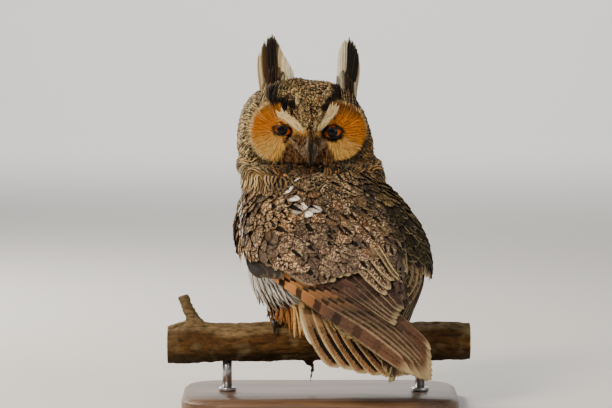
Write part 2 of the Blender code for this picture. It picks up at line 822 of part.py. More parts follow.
def make_leg(side, materials):
    x = FOOT_PLACES[side]
    foot = Vector((x, 0, PERCH_TOP + ANKLE_HEIGHT))
    knee = foot + Vector((0.05 * x, -2.0, 34.0))
    path = [foot.lerp(knee, t) for t in (0.0, 0.12, 0.3, 0.55, 1.0)]
    points, faces = tube(path, [9.0, 12.5, 15.5, 18.5, 20.0], 16)
    leg = new_solid("leg_" + side, points, faces, materials["leg_feathers"])
    return finish(clear_of_torso(leg))


def make_foot(side, leg, perch, materials):
    x = FOOT_PLACES[side]
    outward = -1 if side == "left" else 1
    points, faces = ball((x, 0, PERCH_TOP + 4.0), 9.5, 7, 14, (1.0, 1.05, 0.62))
    foot = new_solid("foot_" + side, points, faces, materials["leg_feathers"])
    toes = []
    for name, (spread, end, tip) in TOES.items():
        start = 8.0 if end > 0 else -8.0
        reach = PERCH_RADIUS + 5.0
        path, radii = [], []
        for k in range(6):
            t = k / 5
            turn = start + (end - start) * t
            place = x - outward * spread * (0.35 + 0.65 * t)
            path.append(round_perch(place, turn, reach - 0.8 * t))
            radii.append(4.9 - 1.0 * t)
        points, faces = tube(path, radii, 7)
        toes.append(new_solid("toe", points, faces))
        claw, claw_radii = [], []
        for k in range(6):
            t = k / 5
            turn = end + (tip - end) * t + (2.2 if end > 0 else -2.2)
            lift = 2.6 * math.sin(math.pi * t)
            claw.append(round_perch(x - outward * spread, turn, reach - 1.0 + lift - 1.4 * t))
            claw_radii.append(2.1 * (1 - t) ** 0.8 + 0.35)
        points, faces = tube(claw, claw_radii, 6)
        finish(new_solid(f"claw_{side}_{name}", points, faces, materials["claw_horn"]))
    fuse(foot, toes)
    clear_of(foot, perch)
    clear_of(foot, leg)
    for name in TOES:
        clear_of(bpy.data.objects[f"claw_{side}_{name}"], foot)
    return finish(foot)


# Ear tufts


# Each tuft feather from its root to its tip, as (across, above the perch) at both ends
TUFT_FEATHERS = {
    "tuft_right": (
        (-24, 198, -22.5, 210),
        (-27, 199, -27.5, 219),
        (-31, 199, -32.5, 228),
        (-35, 198, -36.0, 236),
        (-38, 196, -39.5, 241),
        (-41, 194, -43.8, 238),
        (-44, 191, -48.6, 232),
        (-47, 188, -52.5, 221),
    ),
    "tuft_left": (
        (14, 197, 15.5, 226),
        (17, 196, 19.3, 235),
        (20, 194, 24.4, 238.5),
        (23, 192, 28.6, 234),
        (26, 189, 31.9, 227),
        (28, 185, 33.4, 217),
    ),
}
TUFT_SHAPE = ((0.0, 0.85), (0.45, 1.0), (0.8, 0.8), (1.0, 0.2))
TUFT_DEPTH, TUFT_STEP, TUFT_HALF, TUFT_BURIED = 14.0, 0.9, 4.0, 8.0
TUFT_WRAP = math.radians(20.0)
# The flesh at the tuft's base: rise, share of its half width, half thickness
TUFT_CORE = ((-14, 0.9, 5.0), (0, 1.0, 5.0), (9, 0.92, 3.8), (17, 0.6, 2.2))


def make_tuft(name, head, materials):
    """A blade of long feathers side by side, the innermost nearest the viewer."""
    rows = TUFT_FEATHERS[name]
    outward = -1 if name == "tuft_right" else 1
    vanes = []
    for i, (root_x, root_z, tip_x, tip_z) in enumerate(rows):
        depth = TUFT_DEPTH + TUFT_STEP * i
        root = Vector((root_x, depth, PERCH_TOP + root_z - TUFT_BURIED))
        tip = Vector((tip_x, depth - 1.5, PERCH_TOP + tip_z))
        wrap = TUFT_WRAP * (2 * i / (len(rows) - 1) - 1) * outward
        side = Vector((math.cos(wrap), math.sin(wrap) * 0.5, 0)).normalized()
        spots = [root.lerp(tip, share) for share, _ in TUFT_SHAPE]
        front = side.cross((tip - root).normalized()).normalized()
        count = len(spots)
        halves = [TUFT_HALF * width for _, width in TUFT_SHAPE]
        vanes.append(vane(spots, [side] * count, [front] * count, halves))
    first, last = rows[0], rows[-1]
    middle = rows[len(rows) // 2]
    base = Vector(((first[0] + last[0]) / 2, TUFT_DEPTH + 3.0, PERCH_TOP + (first[1] + last[1]) / 2))
    lean = Vector((middle[2] - middle[0], 0, middle[3] - middle[1])).normalized()
    half = abs(first[0] - last[0]) / 2 + 1.0
    across = Vector((lean.z, 0, -lean.x))
    rings = []
    for rise, width, depth in TUFT_CORE:
        ring = []
        for k in range(10):
            turn = 2 * math.pi * k / 10
            reach = across * (half * width * math.cos(turn)) + Vector((0, depth * math.sin(turn), 0))
            ring.append(base + lean * rise + reach)
        rings.append(ring)
    points, faces = loft(rings)
    tuft = new_solid(name, points, faces, materials["tuft_feathers"])
    fuse(tuft, vanes)
    return finish(clear_of(tuft, head))


# Perch and stand


def perch_centre(x):
    """The perch bends down a little towards its left end."""
    return Vector((x, 0, PERCH_TOP - PERCH_RADIUS - 3.2 * smooth(-x, 40.0, 135.0)))


def make_perch(materials):
    rings = []
    places = np.linspace(PERCH_LEFT, PERCH_RIGHT, 18)
    for i, x in enumerate(places):
        ring = []
        knot = 3.2 * math.exp(-(((x + 108.0) / 15.0) ** 2))
        for k in range(18):
            turn = 2 * math.pi * k / 18
            ripple = 0.35 * math.sin(3 * turn + 0.05 * x) + 0.3 * math.sin(0.09 * x + 2 * turn)
            swell = knot * max(0.0, math.cos(turn - 0.2))
            radius = PERCH_RADIUS - 0.35 + ripple + swell
            radius *= 0.94 if i in (0, len(places) - 1) else 1.0
            ring.append(
                perch_centre(x) + Vector((0, radius * math.sin(turn), radius * math.cos(turn)))
            )
        rings.append(ring)
    points, faces = loft(rings)
    perch = new_solid("perch", points, faces, materials["perch_bark"])
    root = perch_centre(-103.0)
    stub = [root + Vector(p) for p in ((4, 0, 6), (0, -1, 15), (-5, -2, 24), (-10, -3, 36), (-12, -3, 41))]
    points, faces = tube(stub, [9.5, 8.2, 5.6, 4.6, 4.4], 12)
    stub_piece = new_solid("stub", points, faces)
    root = perch_centre(-7.0)
    spur = [root + Vector(p) for p in ((-4, 0, -12), (-2, 0, -18), (1, 0, -22), (0, 0, -28), (-1.5, 0, -35))]
    points, faces = tube(spur, [6.5, 3.6, 1.9, 1.1, 0.35], 8)
    spur_piece = new_solid("spur", points, faces)
    fuse(perch, [stub_piece, spur_piece])
    for x in ROD_PLACES:
        top = perch_centre(x).z - PERCH_RADIUS + ROD_BITE
        path = [Vector((x, 0, top + GAP)), Vector((x, 0, top - 30))]
        points, faces = tube(path, [ROD_RADIUS + GAP] * 2, 20)
        hole = new_solid("hole", points, faces)
        apply_boolean(perch, "DIFFERENCE", other=hole)
        drop(hole)
    return finish(keep_largest(perch))


def make_stand(materials):
    outline = []
    for corner in range(4):
        sx, sy = ((1, 1), (-1, 1), (-1, -1), (1, -1))[corner]
        for k in range(7):
            turn = math.pi / 2 * (corner + k / 6)
            outline.append(
                (
                    sx * (BASE_LENGTH / 2 - BASE_CORNER) + BASE_CORNER * math.cos(turn),
                    sy * (BASE_DEPTH / 2 - BASE_CORNER) + BASE_CORNER * math.sin(turn),
                )
            )
    rings = []
    inset = 1 - 2 * BASE_BEVEL / BASE_DEPTH
    for z, scale in ((0, inset), (BASE_BEVEL, 1), (BASE_THICKNESS - BASE_BEVEL, 1), (BASE_THICKNESS, inset)):
        rings.append([Vector((x * scale, y * scale, z)) for x, y in outline])
    points, faces = loft(rings)
    finish(new_solid("stand_base", points, faces, materials["stand_wood"]), 20)
    for number, x in enumerate(ROD_PLACES, 1):
        top = perch_centre(x).z - PERCH_RADIUS + ROD_BITE
        path = [Vector((x, 0, BASE_THICKNESS + GAP)), Vector((x, 0, top))]
        points, faces = tube(path, [ROD_RADIUS] * 2, 20)
        finish(new_solid(f"stand_rod_{number}", points, faces, materials["stand_steel"]))


def main():
    for obj in list(bpy.data.objects):
        bpy.data.objects.remove(obj)
    materials = make_materials()
    make_torso(materials)
    make_neck(materials)
    head = make_head(materials)
    make_eyes(materials)
    make_bill(head, materials)
    make_tuft("tuft_right", head, materials)
    make_tuft("tuft_left", head, materials)
    wings = [
        make_wing("wing_left", LEFT_WING, materials),
        make_wing("wing_right", RIGHT_WING, materials),
    ]
    make_tail(wings, materials)
    perch = make_perch(materials)
    for side in ("left", "right"):
        leg = make_leg(side, materials)
        make_foot(side, leg, perch, materials)
    make_stand(materials)


main()
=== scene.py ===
import itertools
import math

import bmesh
import bpy
import numpy as np
from mathutils import Matrix, Vector, noise
from mathutils.bvhtree import BVHTree


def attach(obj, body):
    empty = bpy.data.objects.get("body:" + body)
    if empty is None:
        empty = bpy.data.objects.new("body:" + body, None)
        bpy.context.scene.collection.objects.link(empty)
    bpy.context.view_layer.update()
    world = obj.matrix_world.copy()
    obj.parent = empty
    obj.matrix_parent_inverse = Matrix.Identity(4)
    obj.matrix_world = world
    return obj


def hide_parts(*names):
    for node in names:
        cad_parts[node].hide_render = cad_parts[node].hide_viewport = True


# A long eared owl on a short cut branch, as a still model on a display stand.
# Lengths are millimetres in the arrays and metres in the meshes.

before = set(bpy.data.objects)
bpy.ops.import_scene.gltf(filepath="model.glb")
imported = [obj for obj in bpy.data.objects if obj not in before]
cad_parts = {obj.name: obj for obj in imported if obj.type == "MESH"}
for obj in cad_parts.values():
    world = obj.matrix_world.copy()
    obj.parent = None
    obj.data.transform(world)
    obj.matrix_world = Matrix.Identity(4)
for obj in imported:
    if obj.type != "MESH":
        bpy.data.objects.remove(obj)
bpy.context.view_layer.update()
draw = np.random.default_rng(11)
mm = 0.001

stance = {
    "yaw": 26.0,  # the back is turned a little to the viewer's left
    "perchTop": 70.0,
    "perchAxis": 53.0,
    "headAt": (-14.0, 27.0, 233.0),
    "headTurn": (5.5, 3.0, 3.0),
}


def linear(code):
    parts = [int(code[i:i + 2], 16) / 255 for i in (0, 2, 4)]
    return np.array([p / 12.92 if p <= 0.04045 else ((p + 0.055) / 1.055) ** 2.4 for p in parts])


def smooth(value, low, high):
    t = np.clip((np.asarray(value, float) - low) / (high - low), 0, 1)
    return t * t * (3 - 2 * t)


def fade(value, low, high):
    return 1 - smooth(value, low, high)


def mix(start, end, share):
    return start + (end - start) * share


def noiseAt(points, scale=1.0, shift=(0, 0, 0)):
    return np.array([noise.noise(Vector(p) * scale + Vector(shift)) for p in points])


def unit(vectors):
    return vectors / np.maximum(np.linalg.norm(vectors, axis=-1, keepdims=True), 1e-9)


def turnAbout(degrees, axis):
    return np.array(Matrix.Rotation(math.radians(degrees), 3, axis))


birdTurn = turnAbout(stance["yaw"], "Z")
headTurn = np.linalg.multi_dot([turnAbout(*turn) for turn in zip(stance["headTurn"], "ZXY")])
perchLift = np.array((0, 0, stance["perchTop"]))


def fromBird(points):
    return np.asarray(points, float) @ birdTurn.T + perchLift


def toBird(points):
    return (np.asarray(points, float) - perchLift) @ birdTurn


def fromHead(points):
    # across, towards the face, up
    return (np.asarray(points, float) * (1, -1, 1)) @ headTurn.T + stance["headAt"]


def toHead(points):
    return ((np.asarray(points, float) - stance["headAt"]) @ headTurn) * (1, -1, 1)


# Materials

def add(tree, kind, inputs, **settings):
    made = tree.nodes.new("ShaderNode" + kind)
    for key, value in settings.items():
        setattr(made, key, value)
    for key, value in inputs.items():
        if isinstance(value, bpy.types.Node):
            value = value.outputs[0]
        if isinstance(value, bpy.types.NodeSocket):
            tree.links.new(value, made.inputs[key])
        else:
            made.inputs[key].default_value = value
    return made


def startMaterial(name, values):
    material = bpy.data.materials.new(name)
    material.use_nodes = True
    shader = material.node_tree.nodes["Principled BSDF"]
    for key, value in values.items():
        shader.inputs[key].default_value = value
    return material, material.node_tree, shader


def rgba(code):
    return (*linear(code), 1.0)


def finishMaterial(tree, shader, paint, height, strength, depth):
    # colour and relief
    tree.links.new(paint.outputs[0], shader.inputs["Base Color"])
    bump = add(tree, "Bump", {"Strength": strength, "Distance": depth, "Height": height})
    tree.links.new(bump.outputs[0], shader.inputs["Normal"])


def scaleFor(*sizes):
    # how often a pattern repeats in a metre, from its size in millimetres along each axis
    scales = [1 / (size * mm) for size in sizes]
    return scales if len(scales) > 1 else scales[0]


plumageLook = {
    "edge": "D2B988",
    "dark": "18100A",
    "barbPitch": 0.9,  # real barbs are 0.3 mm apart, drawn coarser so that they show
    "waverPitch": 1.35,  # the fine wavy cross lines
    "waverRun": 2.38,  # how far one runs across before it wanders
    "waverLean": 0.7,
    "barPitch": 21.0,  # the broad bars of the long feathers
    "barbDepth": 0.0003,
}


def plumage(name):
    # Keratin barbs hooked side by side: dull, soft edged, with a faint sheen along the vane
    look = plumageLook
    material, tree, shader = startMaterial(
        name, {"Roughness": 0.78, "Specular IOR Level": 0.16, "IOR": 1.54}
    )
    ground, mark, pattern, lie = (
        add(tree, "Attribute", {}, attribute_name=key) for key in ("ground", "mark", "pattern", "lie")
    )
    streak = add(tree, "SeparateColor", {0: pattern})
    spot = add(tree, "UVMap", {}, uv_map="vane")
    onVane = add(tree, "SeparateXYZ", {0: spot})
    real = add(tree, "SeparateXYZ", {0: lie.outputs["Vector"]})
    off = add(tree, "Math", {0: onVane.outputs[0], 1: 0.5}, operation="SUBTRACT")
    side = add(tree, "Math", {0: off, 1: 2.0}, operation="MULTIPLY")
    side = add(tree, "Math", {0: side}, operation="ABSOLUTE")
    seed = add(tree, "Math", {0: real.outputs[2], 1: 61.0}, operation="MULTIPLY")

    # fine wavy cross lines
    wide = add(tree, "Math", {0: real.outputs[0], 1: 1.0 / look["waverRun"]}, operation="MULTIPLY")
    lean = add(tree, "Math", {0: real.outputs[0]}, operation="ABSOLUTE")
    lean = add(tree, "Math", {0: lean, 1: look["waverLean"]}, operation="MULTIPLY")
    deep = add(tree, "Math", {0: real.outputs[1], 1: lean}, operation="SUBTRACT")
    deep = add(tree, "Math", {0: deep, 1: 1.0 / look["waverPitch"]}, operation="MULTIPLY")
    at = add(tree, "CombineXYZ", {0: wide, 1: deep, 2: seed})
    waver = add(tree, "TexNoise", {"Vector": at, "Scale": 1.0, "Detail": 2.0, "Roughness": 0.6})
    waver = add(tree, "MapRange", {0: waver, 1: 0.50, 2: 0.60}, interpolation_type="SMOOTHSTEP")
    waver = add(tree, "Math", {0: waver, 1: streak.outputs[1]}, operation="MULTIPLY")

    # broad bars across the long feathers
    wander = add(tree, "TexNoise", {"Vector": at, "Scale": 0.35, "Detail": 1.0})
    wander = add(tree, "Math", {0: wander, 1: 1.1}, operation="MULTIPLY")
    phase = add(tree, "Math", {0: real.outputs[1], 1: 2 * math.pi / look["barPitch"]}, operation="MULTIPLY")
    phase = add(tree, "Math", {0: phase, 1: wander}, operation="ADD")
    bars = add(tree, "Math", {0: phase}, operation="SINE")
    bars = add(tree, "MapRange", {0: bars, 1: 0.3, 2: 0.6}, interpolation_type="SMOOTHSTEP")
    bars = add(tree, "Math", {0: bars, 1: pattern.outputs["Alpha"]}, operation="MULTIPLY")

    # the dark streak along the shaft
    rough = add(tree, "TexNoise", {"Vector": at, "Scale": 1.3, "Detail": 2.0})
    rough = add(tree, "Math", {0: rough, 1: 0.5}, operation="SUBTRACT")
    rough = add(tree, "Math", {0: rough, 1: 0.5}, operation="MULTIPLY")
    shaft = add(tree, "Math", {0: streak.outputs[0], 1: side}, operation="SUBTRACT")
    shaft = add(tree, "Math", {0: shaft, 1: rough}, operation="ADD")
    shaft = add(tree, "MapRange", {0: shaft, 1: 0.0, 2: 0.14}, interpolation_type="SMOOTHSTEP")
    has = add(tree, "MapRange", {0: streak.outputs[0], 1: 0.0, 2: 0.06})
    shaft = add(tree, "Math", {0: shaft, 1: has}, operation="MULTIPLY")
    dark = add(tree, "Math", {0: bars, 1: shaft}, operation="MAXIMUM")

    # worn pale rims
    rim = add(tree, "Math", {0: side, 1: rough}, operation="ADD")
    rim = add(tree, "MapRange", {0: rim, 1: 0.62, 2: 0.95}, interpolation_type="SMOOTHSTEP")
    end = add(tree, "MapRange", {0: onVane.outputs[1], 1: 0.90, 2: 0.99}, interpolation_type="SMOOTHSTEP")
    rim = add(tree, "Math", {0: rim, 1: end}, operation="MAXIMUM")
    rim = add(tree, "Math", {0: rim, 1: streak.outputs[2]}, operation="MULTIPLY")

    paint = add(tree, "MixRGB", {0: waver, 1: ground, 2: mark})
    paint = add(tree, "MixRGB", {0: dark, 1: paint, 2: rgba(look["dark"])})
    paint = add(tree, "MixRGB", {0: rim, 1: paint, 2: rgba(look["edge"])})

    # barbs slant from the shaft to the edge
    slant = add(tree, "Math", {0: real.outputs[0]}, operation="ABSOLUTE")
    slant = add(tree, "Math", {0: real.outputs[1], 1: slant}, operation="SUBTRACT")
    slant = add(tree, "Math", {0: slant, 1: 2 * math.pi / look["barbPitch"]}, operation="MULTIPLY")
    barbs = add(tree, "Math", {0: slant}, operation="SINE")
    tint = add(tree, "MapRange", {0: barbs, 1: -1.0, 2: 1.0, 3: 0.86, 4: 1.12})
    vary = add(tree, "MapRange", {0: real.outputs[2], 3: 0.80, 4: 1.18})
    tint = add(tree, "Math", {0: tint, 1: vary}, operation="MULTIPLY")
    paint = add(tree, "VectorMath", {0: paint, 1: tint}, operation="MULTIPLY")
    quill = add(tree, "MapRange", {0: side, 1: 0.16, 2: 0.0, 3: 0.0, 4: 1.6})
    height = add(tree, "Math", {0: barbs, 1: quill}, operation="ADD")
    finishMaterial(tree, shader, paint, height, 0.5, look["barbDepth"])
    return material


# Pieces

def place(piece, material, replaced=()):
    piece.data.materials.clear()
    piece.data.materials.append(material)
    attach(piece, "root")
    if replaced:
        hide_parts(*replaced)
    return piece


def clearChoice():
    for other in bpy.context.selected_objects:
        other.select_set(False)


def choose(piece):
    clearChoice()
    piece.select_set(True)
    bpy.context.view_layer.objects.active = piece


def soften(piece, degrees=None):
    choose(piece)
    if degrees:
        bpy.ops.object.shade_smooth_by_angle(angle=math.radians(degrees))
    else:
        bpy.ops.object.shade_smooth()


def asPiece(name, mesh):
    piece = bpy.data.objects.new(name, mesh)
    bpy.context.scene.collection.objects.link(piece)
    return piece


def closeShape(name, shape):
    mesh = bpy.data.meshes.new(name)
    shape.to_mesh(mesh)
    shape.free()
    return asPiece(name, mesh)


def copyNodes(name, nodeNames):
    # A welded copy of the solids, as one mesh
    shape = bmesh.new()
    for nodeName in nodeNames:
        shape.from_mesh(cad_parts[nodeName].data)
    bmesh.ops.remove_doubles(shape, verts=shape.verts, dist=2e-6)
    return closeShape(name, shape)


def applyModifier(piece, kind, **settings):
    made = piece.modifiers.new(kind.lower(), kind)
    for key, value in settings.items():
        setattr(made, key, value)
    choose(piece)
    bpy.ops.object.modifier_apply(modifier=made.name)


def readPoints(mesh):
    points = np.empty(len(mesh.vertices) * 3, np.float32)
    mesh.vertices.foreach_get("co", points)
    return points.reshape(-1, 3).astype(float) / mm


def writePoints(mesh, points):
    mesh.vertices.foreach_set("co", (points * mm).astype(np.float32).ravel())
    mesh.update()


def readNormals(mesh):
    normals = np.empty(len(mesh.vertices) * 3, np.float32)
    mesh.vertices.foreach_get("normal", normals)
    return normals.reshape(-1, 3).astype(float)


def setColours(mesh, name, colours):
    layer = mesh.attributes.new(name, "FLOAT_COLOR", "POINT")
    if colours.shape[1] == 3:
        colours = np.concatenate((colours, np.ones((len(colours), 1))), 1)
    layer.data.foreach_set("color", colours.astype(np.float32).ravel())


def makeVanes(
    name, slotName, spines, ups, widths, dress, unwrap,
    columns=5, cup=0.12, thick=0.25, ragged=0.08, replaced=(),
):
    # Thin closed leaves laid along their spines, all in one mesh
    count, rows = spines.shape[:2]
    along = unit(np.gradient(spines, axis=1))
    side = unit(np.cross(along, ups))
    ups = unit(np.cross(side, along))
    across = np.linspace(-1, 1, columns)
    width = widths[:, :, None]
    jag = np.ones((count, rows, columns))
    jag[:, :, (0, -1)] += ragged * draw.uniform(-1, 1, (count, rows, 2))
    reach = width * across * jag
    drop = cup * width * across**2
    top = spines[:, :, None] + side[:, :, None] * reach[..., None] - ups[:, :, None] * drop[..., None]
    depth = np.broadcast_to(thick * (1 - across[1:-1] ** 2), (count, rows, columns - 2))
    under = top[:, :, 1:-1] - ups[:, :, None] * depth[..., None]
    ring = np.concatenate((top, under[:, :, ::-1]), 2)
    size = ring.shape[2]
    index = np.arange(rows * size).reshape(rows, size)
    ahead = np.roll(index, -1, axis=1)
    quads = np.stack((index[:-1], ahead[:-1], ahead[1:], index[1:]), -1).reshape(-1, 4)
    caps = np.stack((index[0][::-1], index[-1]))
    base = (np.arange(count) * rows * size)[:, None, None]
    loops = np.concatenate(
        ((quads[None] + base).reshape(count, -1), (caps[None] + base).reshape(count, -1)), 1
    ).ravel()
    sizes = np.tile(np.concatenate((np.full(len(quads), 4), np.full(2, size))), count)
    starts = np.concatenate(((0,), np.cumsum(sizes)[:-1]))
    mesh = bpy.data.meshes.new(name)
    mesh.vertices.add(count * rows * size)
    mesh.vertices.foreach_set("co", (ring * mm).astype(np.float32).ravel())
    mesh.loops.add(len(loops))
    mesh.loops.foreach_set("vertex_index", loops.astype(np.int32))
    mesh.polygons.add(len(sizes))
    mesh.polygons.foreach_set("loop_start", starts.astype(np.int32))
    mesh.polygons.foreach_set("use_smooth", np.ones(len(sizes), bool))
    mesh.update(calc_edges=True)
    ringAcross = np.concatenate((across, across[1:-1][::-1]))
    u = np.broadcast_to((ringAcross + 1) / 2, (count, rows, size))
    v = np.broadcast_to(np.linspace(0, 1, rows)[None, :, None], (count, rows, size))
    flat = np.stack((u, v), -1)
    layer = mesh.uv_layers.new(name="vane")
    layer.data.foreach_set("uv", flat.reshape(-1, 2)[loops].astype(np.float32).ravel())
    layer = mesh.uv_layers.new(name="OFBake")
    baked = unwrap["at"][:, None, None] + (flat - 0.5) * unwrap["patch"]
    layer.data.foreach_set("uv", baked.reshape(-1, 2)[loops].astype(np.float32).ravel())
    travel = np.linalg.norm(np.diff(spines, axis=1), axis=2)
    travel = np.concatenate((np.zeros((count, 1)), np.cumsum(travel, 1)), 1)
    seeds = draw.random(count)
    lie = np.stack(
        (
            np.broadcast_to(width * ringAcross, (count, rows, size)),
            np.broadcast_to(travel[:, :, None], (count, rows, size)),
            np.broadcast_to(seeds[:, None, None], (count, rows, size)),
        ),
        -1,
    )
    layer = mesh.attributes.new("lie", "FLOAT_VECTOR", "POINT")
    layer.data.foreach_set("vector", lie.astype(np.float32).ravel())
    for key, values in dress.items():
        values = np.broadcast_to(
            values[:, :, None] if values.ndim == 3 else values[:, None, None],
            (count, rows, size, values.shape[-1]),
        )
        setColours(mesh, key, values.reshape(-1, values.shape[-1]))
    return place(asPiece(name, mesh), feather, replaced)


# Plumage colours by place on the body

feather = plumage("barbed feather vane")
hues = {
    "black": "0E0906", "darkBrown": "2C1A0C", "mantle": "33231A", "waver": "D9BF94",
    "brown": "5A3B1E", "golden": "D27C16", "creamGold": "E8B25A", "cream": "E6C687",
    "white": "FCF3E4", "straw": "FFE2A4", "buff": "CC8C3C", "rust": "A86426",
    "tan": "8A6238", "grey": "A8977C",
}
hue = {key: linear(code) for key, code in hues.items()}


def toSegment(x, z, start, end):
    # distance from the line between two points, and the share of the way along it
    sx, sz = end[0] - start[0], end[1] - start[1]
    t = np.clip(((x - start[0]) * sx + (z - start[1]) * sz) / (sx * sx + sz * sz), 0, 1)
    return np.hypot(x - start[0] - sx * t, z - start[1] - sz * t), t


tuftLines = (((-13, 37), (-34, 25)), ((27, 34), (42, 21)))
browLines = (((-7, 1.5), (-21, 11.5)), ((10, 2.5), (20, 17)))
# between the brows and the tufts, with their widths
darkLines = (((-29, 25), (-14, 19), 6.5), ((14, 21), (26, 31), 6.0), ((19, 11), (20, 3), 4.6))


def faceForms(x, z):
    # how far out in the left and right discs, 1 at their slightly uneven rims
    left = np.hypot((x + 24) / 23.0, (z + 3) / 25.5)
    right = np.hypot((x - 27) / 24.0, z / 24.5)
    fuzz = 0.035 * np.sin(1.7 * x + 0.9 * z) * np.sin(1.3 * z - 0.6 * x)
    return left + fuzz, right + fuzz


def markings(points):
    bird, head = toBird(points), toHead(points)
    r, f, u = bird.T
    x, y, z = head.T
    wave, fleck = noiseAt(points, 0.16), noiseAt(points, 0.42, (9, 4, 2))
    count = len(points)
    ground = np.tile(hue["mantle"], (count, 1))
    mark = np.tile(hue["waver"], (count, 1))
    pattern = np.tile((0.0, 0.8, 0.35, 0.0), (count, 1))

    def paint(mask, name, other=None, look=None):
        mask = np.clip(mask, 0, 1)[:, None]
        ground[:] = mix(ground, hue[name], mask)
        if other:
            mark[:] = mix(mark, hue[other], mask)
        if look:
            pattern[:] = mix(pattern, np.array(look), mask)

    # breast, belly and flanks: buff to cream with bold dark streaks and fine cross bars
    front = smooth(f + 0.35 * np.abs(r) - 8 + 14 * wave, 0, 26)
    paint(front, "buff", "darkBrown", (0.5, 0.3, 0.1, 0.0))
    paint(front * smooth(-u + 30 * wave, -128, -60), "cream", "darkBrown", (0.42, 0.4, 0.05, 0.0))
    flank = smooth(np.abs(r) + 22 * wave, 14, 52) * fade(u + 16 * fleck, 56, 84) * smooth(f, -80, -60)
    paint(flank, "white", "brown", (0.22, 0.15, 0.0, 0.0))
    thigh = smooth(-u + 12 * wave, -34, -12) * smooth(f + 70, 0, 20) * fade(np.abs(r), 34, 50)
    paint(thigh, "rust", "cream", (0.0, 0.3, 0.2, 0.0))
    paint(smooth(-f, 52, 70) * smooth(-u, -42, -14), "cream", "tan", (0.12, 0.0, 0.2, 0.0))

    # neck: black streaks, paler to the left with painted light, more orange to the right, darker there with
    # painted shade
    neck = smooth(u + 10 * wave, 98, 118) * fade(z, -34, -24)
    paint(neck, "brown", "cream", (0.45, 0.3, 0.5, 0.0))
    leftward, rightward = -x + 10 * fleck, x + 10 * fleck
    # painted light: tan, then cream, on the left side of the neck
    paint(neck * smooth(leftward, 26, 40), "tan", "brown", (0.4, 0.1, 0.2, 0.0))
    paint(neck * smooth(leftward, 28, 42) * smooth(fleck, -0.1, 0.1), "cream", "brown", (0.35, 0.1, 0.2, 0.0))
    warm = neck * smooth(rightward, -14, 12) * smooth(fleck, 0.0, 0.15)
    paint(warm * (1 - 0.5 * smooth(y, -10, 10)), "buff", "brown", (0.5, 0.2, 0.3, 0.0))
    shaded = neck * smooth(rightward, -20, 0) * smooth(-fleck, 0.1, 0.25)
    paint(shaded, "darkBrown", "cream", (0.4, 0.2, 0.5, 0.0))

    # head, speckled brown all round
    onHead = smooth(z, -42, -30) * smooth(u, 118, 128)
    paint(onHead, "brown", "cream", (0.35, 0.4, 0.35, 0.0))
    paint(onHead * smooth(fleck, 0.0, 0.15), "darkBrown")
    # painted light: cream on the left side of the head
    paint(onHead * smooth(-x, 26, 50) * smooth(-fleck, -0.1, 0.1), "cream")
    paint(onHead * smooth(x, 34, 50) * smooth(-fleck, 0.0, 0.15) * 0.8, "buff")
    face = smooth(y, 6, 14)
    left, right = faceForms(x, z)
    # crown wedge down between the brows, with paler lines along its sides
    above = np.where(x < 1.5, z + 2.6 + 0.7 * x, z + 11 - 1.4 * x)
    wedge = face * smooth(above, 0, 2) * fade(np.abs(x + 1) - 20, 0, 4)
    paint(wedge, "darkBrown", "cream", (0.0, 0.75, 0.1, 0.0))
    paint(wedge * smooth(fleck, 0.1, 0.3) * 0.35, "rust")
    for start, end in (((-2, 1), (-13, 34)), ((4, 1), (16, 34))):
        near, t = toSegment(x, z, start, end)
        paint(face * fade(near, 0.8, 2.6) * smooth(fleck, -0.15, 0.2), "cream")
    for spotX, spotZ in ((-3, 35), (8, 34), (3, 27)):
        paint(face * fade(np.hypot(x - spotX, z - spotZ), 1.2, 3.2), "black")
    # discs, with darker rays
    leftDisc = face * fade(left, 0.94, 1.02) * (1 - wedge)
    rightDisc = face * fade(right, 0.94, 1.02) * (1 - wedge)
    for disc, centre, sign in ((leftDisc, -21, 1), (rightDisc, 21, -1)):
        angle = np.arctan2(z + 1, x - centre)
        rays = noiseAt(np.stack((7 * np.cos(angle), 7 * np.sin(angle), 0 * angle + centre), 1))
        paint(disc, "creamGold", "rust", (0.12, 0.0, 0.0, 0.0))
        paint(disc * smooth(z - sign * 0.5 * (x - centre), -12, 10), "golden", "rust")
        paint(disc * smooth(rays, 0.1, 0.5) * 0.3, "rust")
        paint(disc * smooth(-rays, 0.15, 0.5) * 0.3, "cream")
        top = smooth(z - sign * 0.25 * (x - centre) + 5 * rays, 13, 23)
        paint(disc * top * 0.75, "brown")
    # rims
    rim = face * np.maximum(
        smooth(left, 0.94, 0.98) * fade(left, 1.04, 1.08) * smooth(-x, 10, 24),
        smooth(right, 0.96, 0.99) * fade(right, 1.02, 1.05) * smooth(x, 12, 26),
    )
    paint(rim * (1 - wedge) * smooth(fleck, -0.5, -0.1), "cream", "brown", (0.0, 0.2, 0.1, 0.0))
    outer = face * np.maximum(
        smooth(left, 1.05, 1.1) * fade(left, 1.2, 1.32) * smooth(-x, 10, 24),
        smooth(right, 1.04, 1.08) * fade(right, 1.16, 1.26) * smooth(x, 12, 26),
    )
    paint(outer * smooth(fleck + 0.5 * smooth(-z, 8, 24), 0.0, 0.25) * (1 - wedge), "black", "cream")
    edge = smooth(right, 0.93, 0.98) * fade(right, 1.1, 1.16)
    paint(face * edge * smooth(x - z, 42, 52) * smooth(-z, 2, 8), "black")
    # dark between the brows and the tufts
    for start, end, wide in darkLines:
        near, t = toSegment(x, z, start, end)
        paint(face * fade(near + 5 * wave, wide - 3.5, wide), "black", "brown", (0.2, 0.2, 0, 0))
    # black feathering round the eyes
    for centre, grow, flat in ((-21, -1.2, 1.5), (21, 0.6, 1.3)):
        ring = np.hypot((x - centre) * 0.95, (z + 1.5) * flat)
        paint(face * fade(ring + 2 * fleck, 8.2 + grow, 10.2 + grow), "black", "brown", (0.2, 0, 0, 0))
    near, t = toSegment(x, z, (-14, -5), (-18, -11))
    paint(face * fade(near, 0.8, 2.6), "darkBrown")
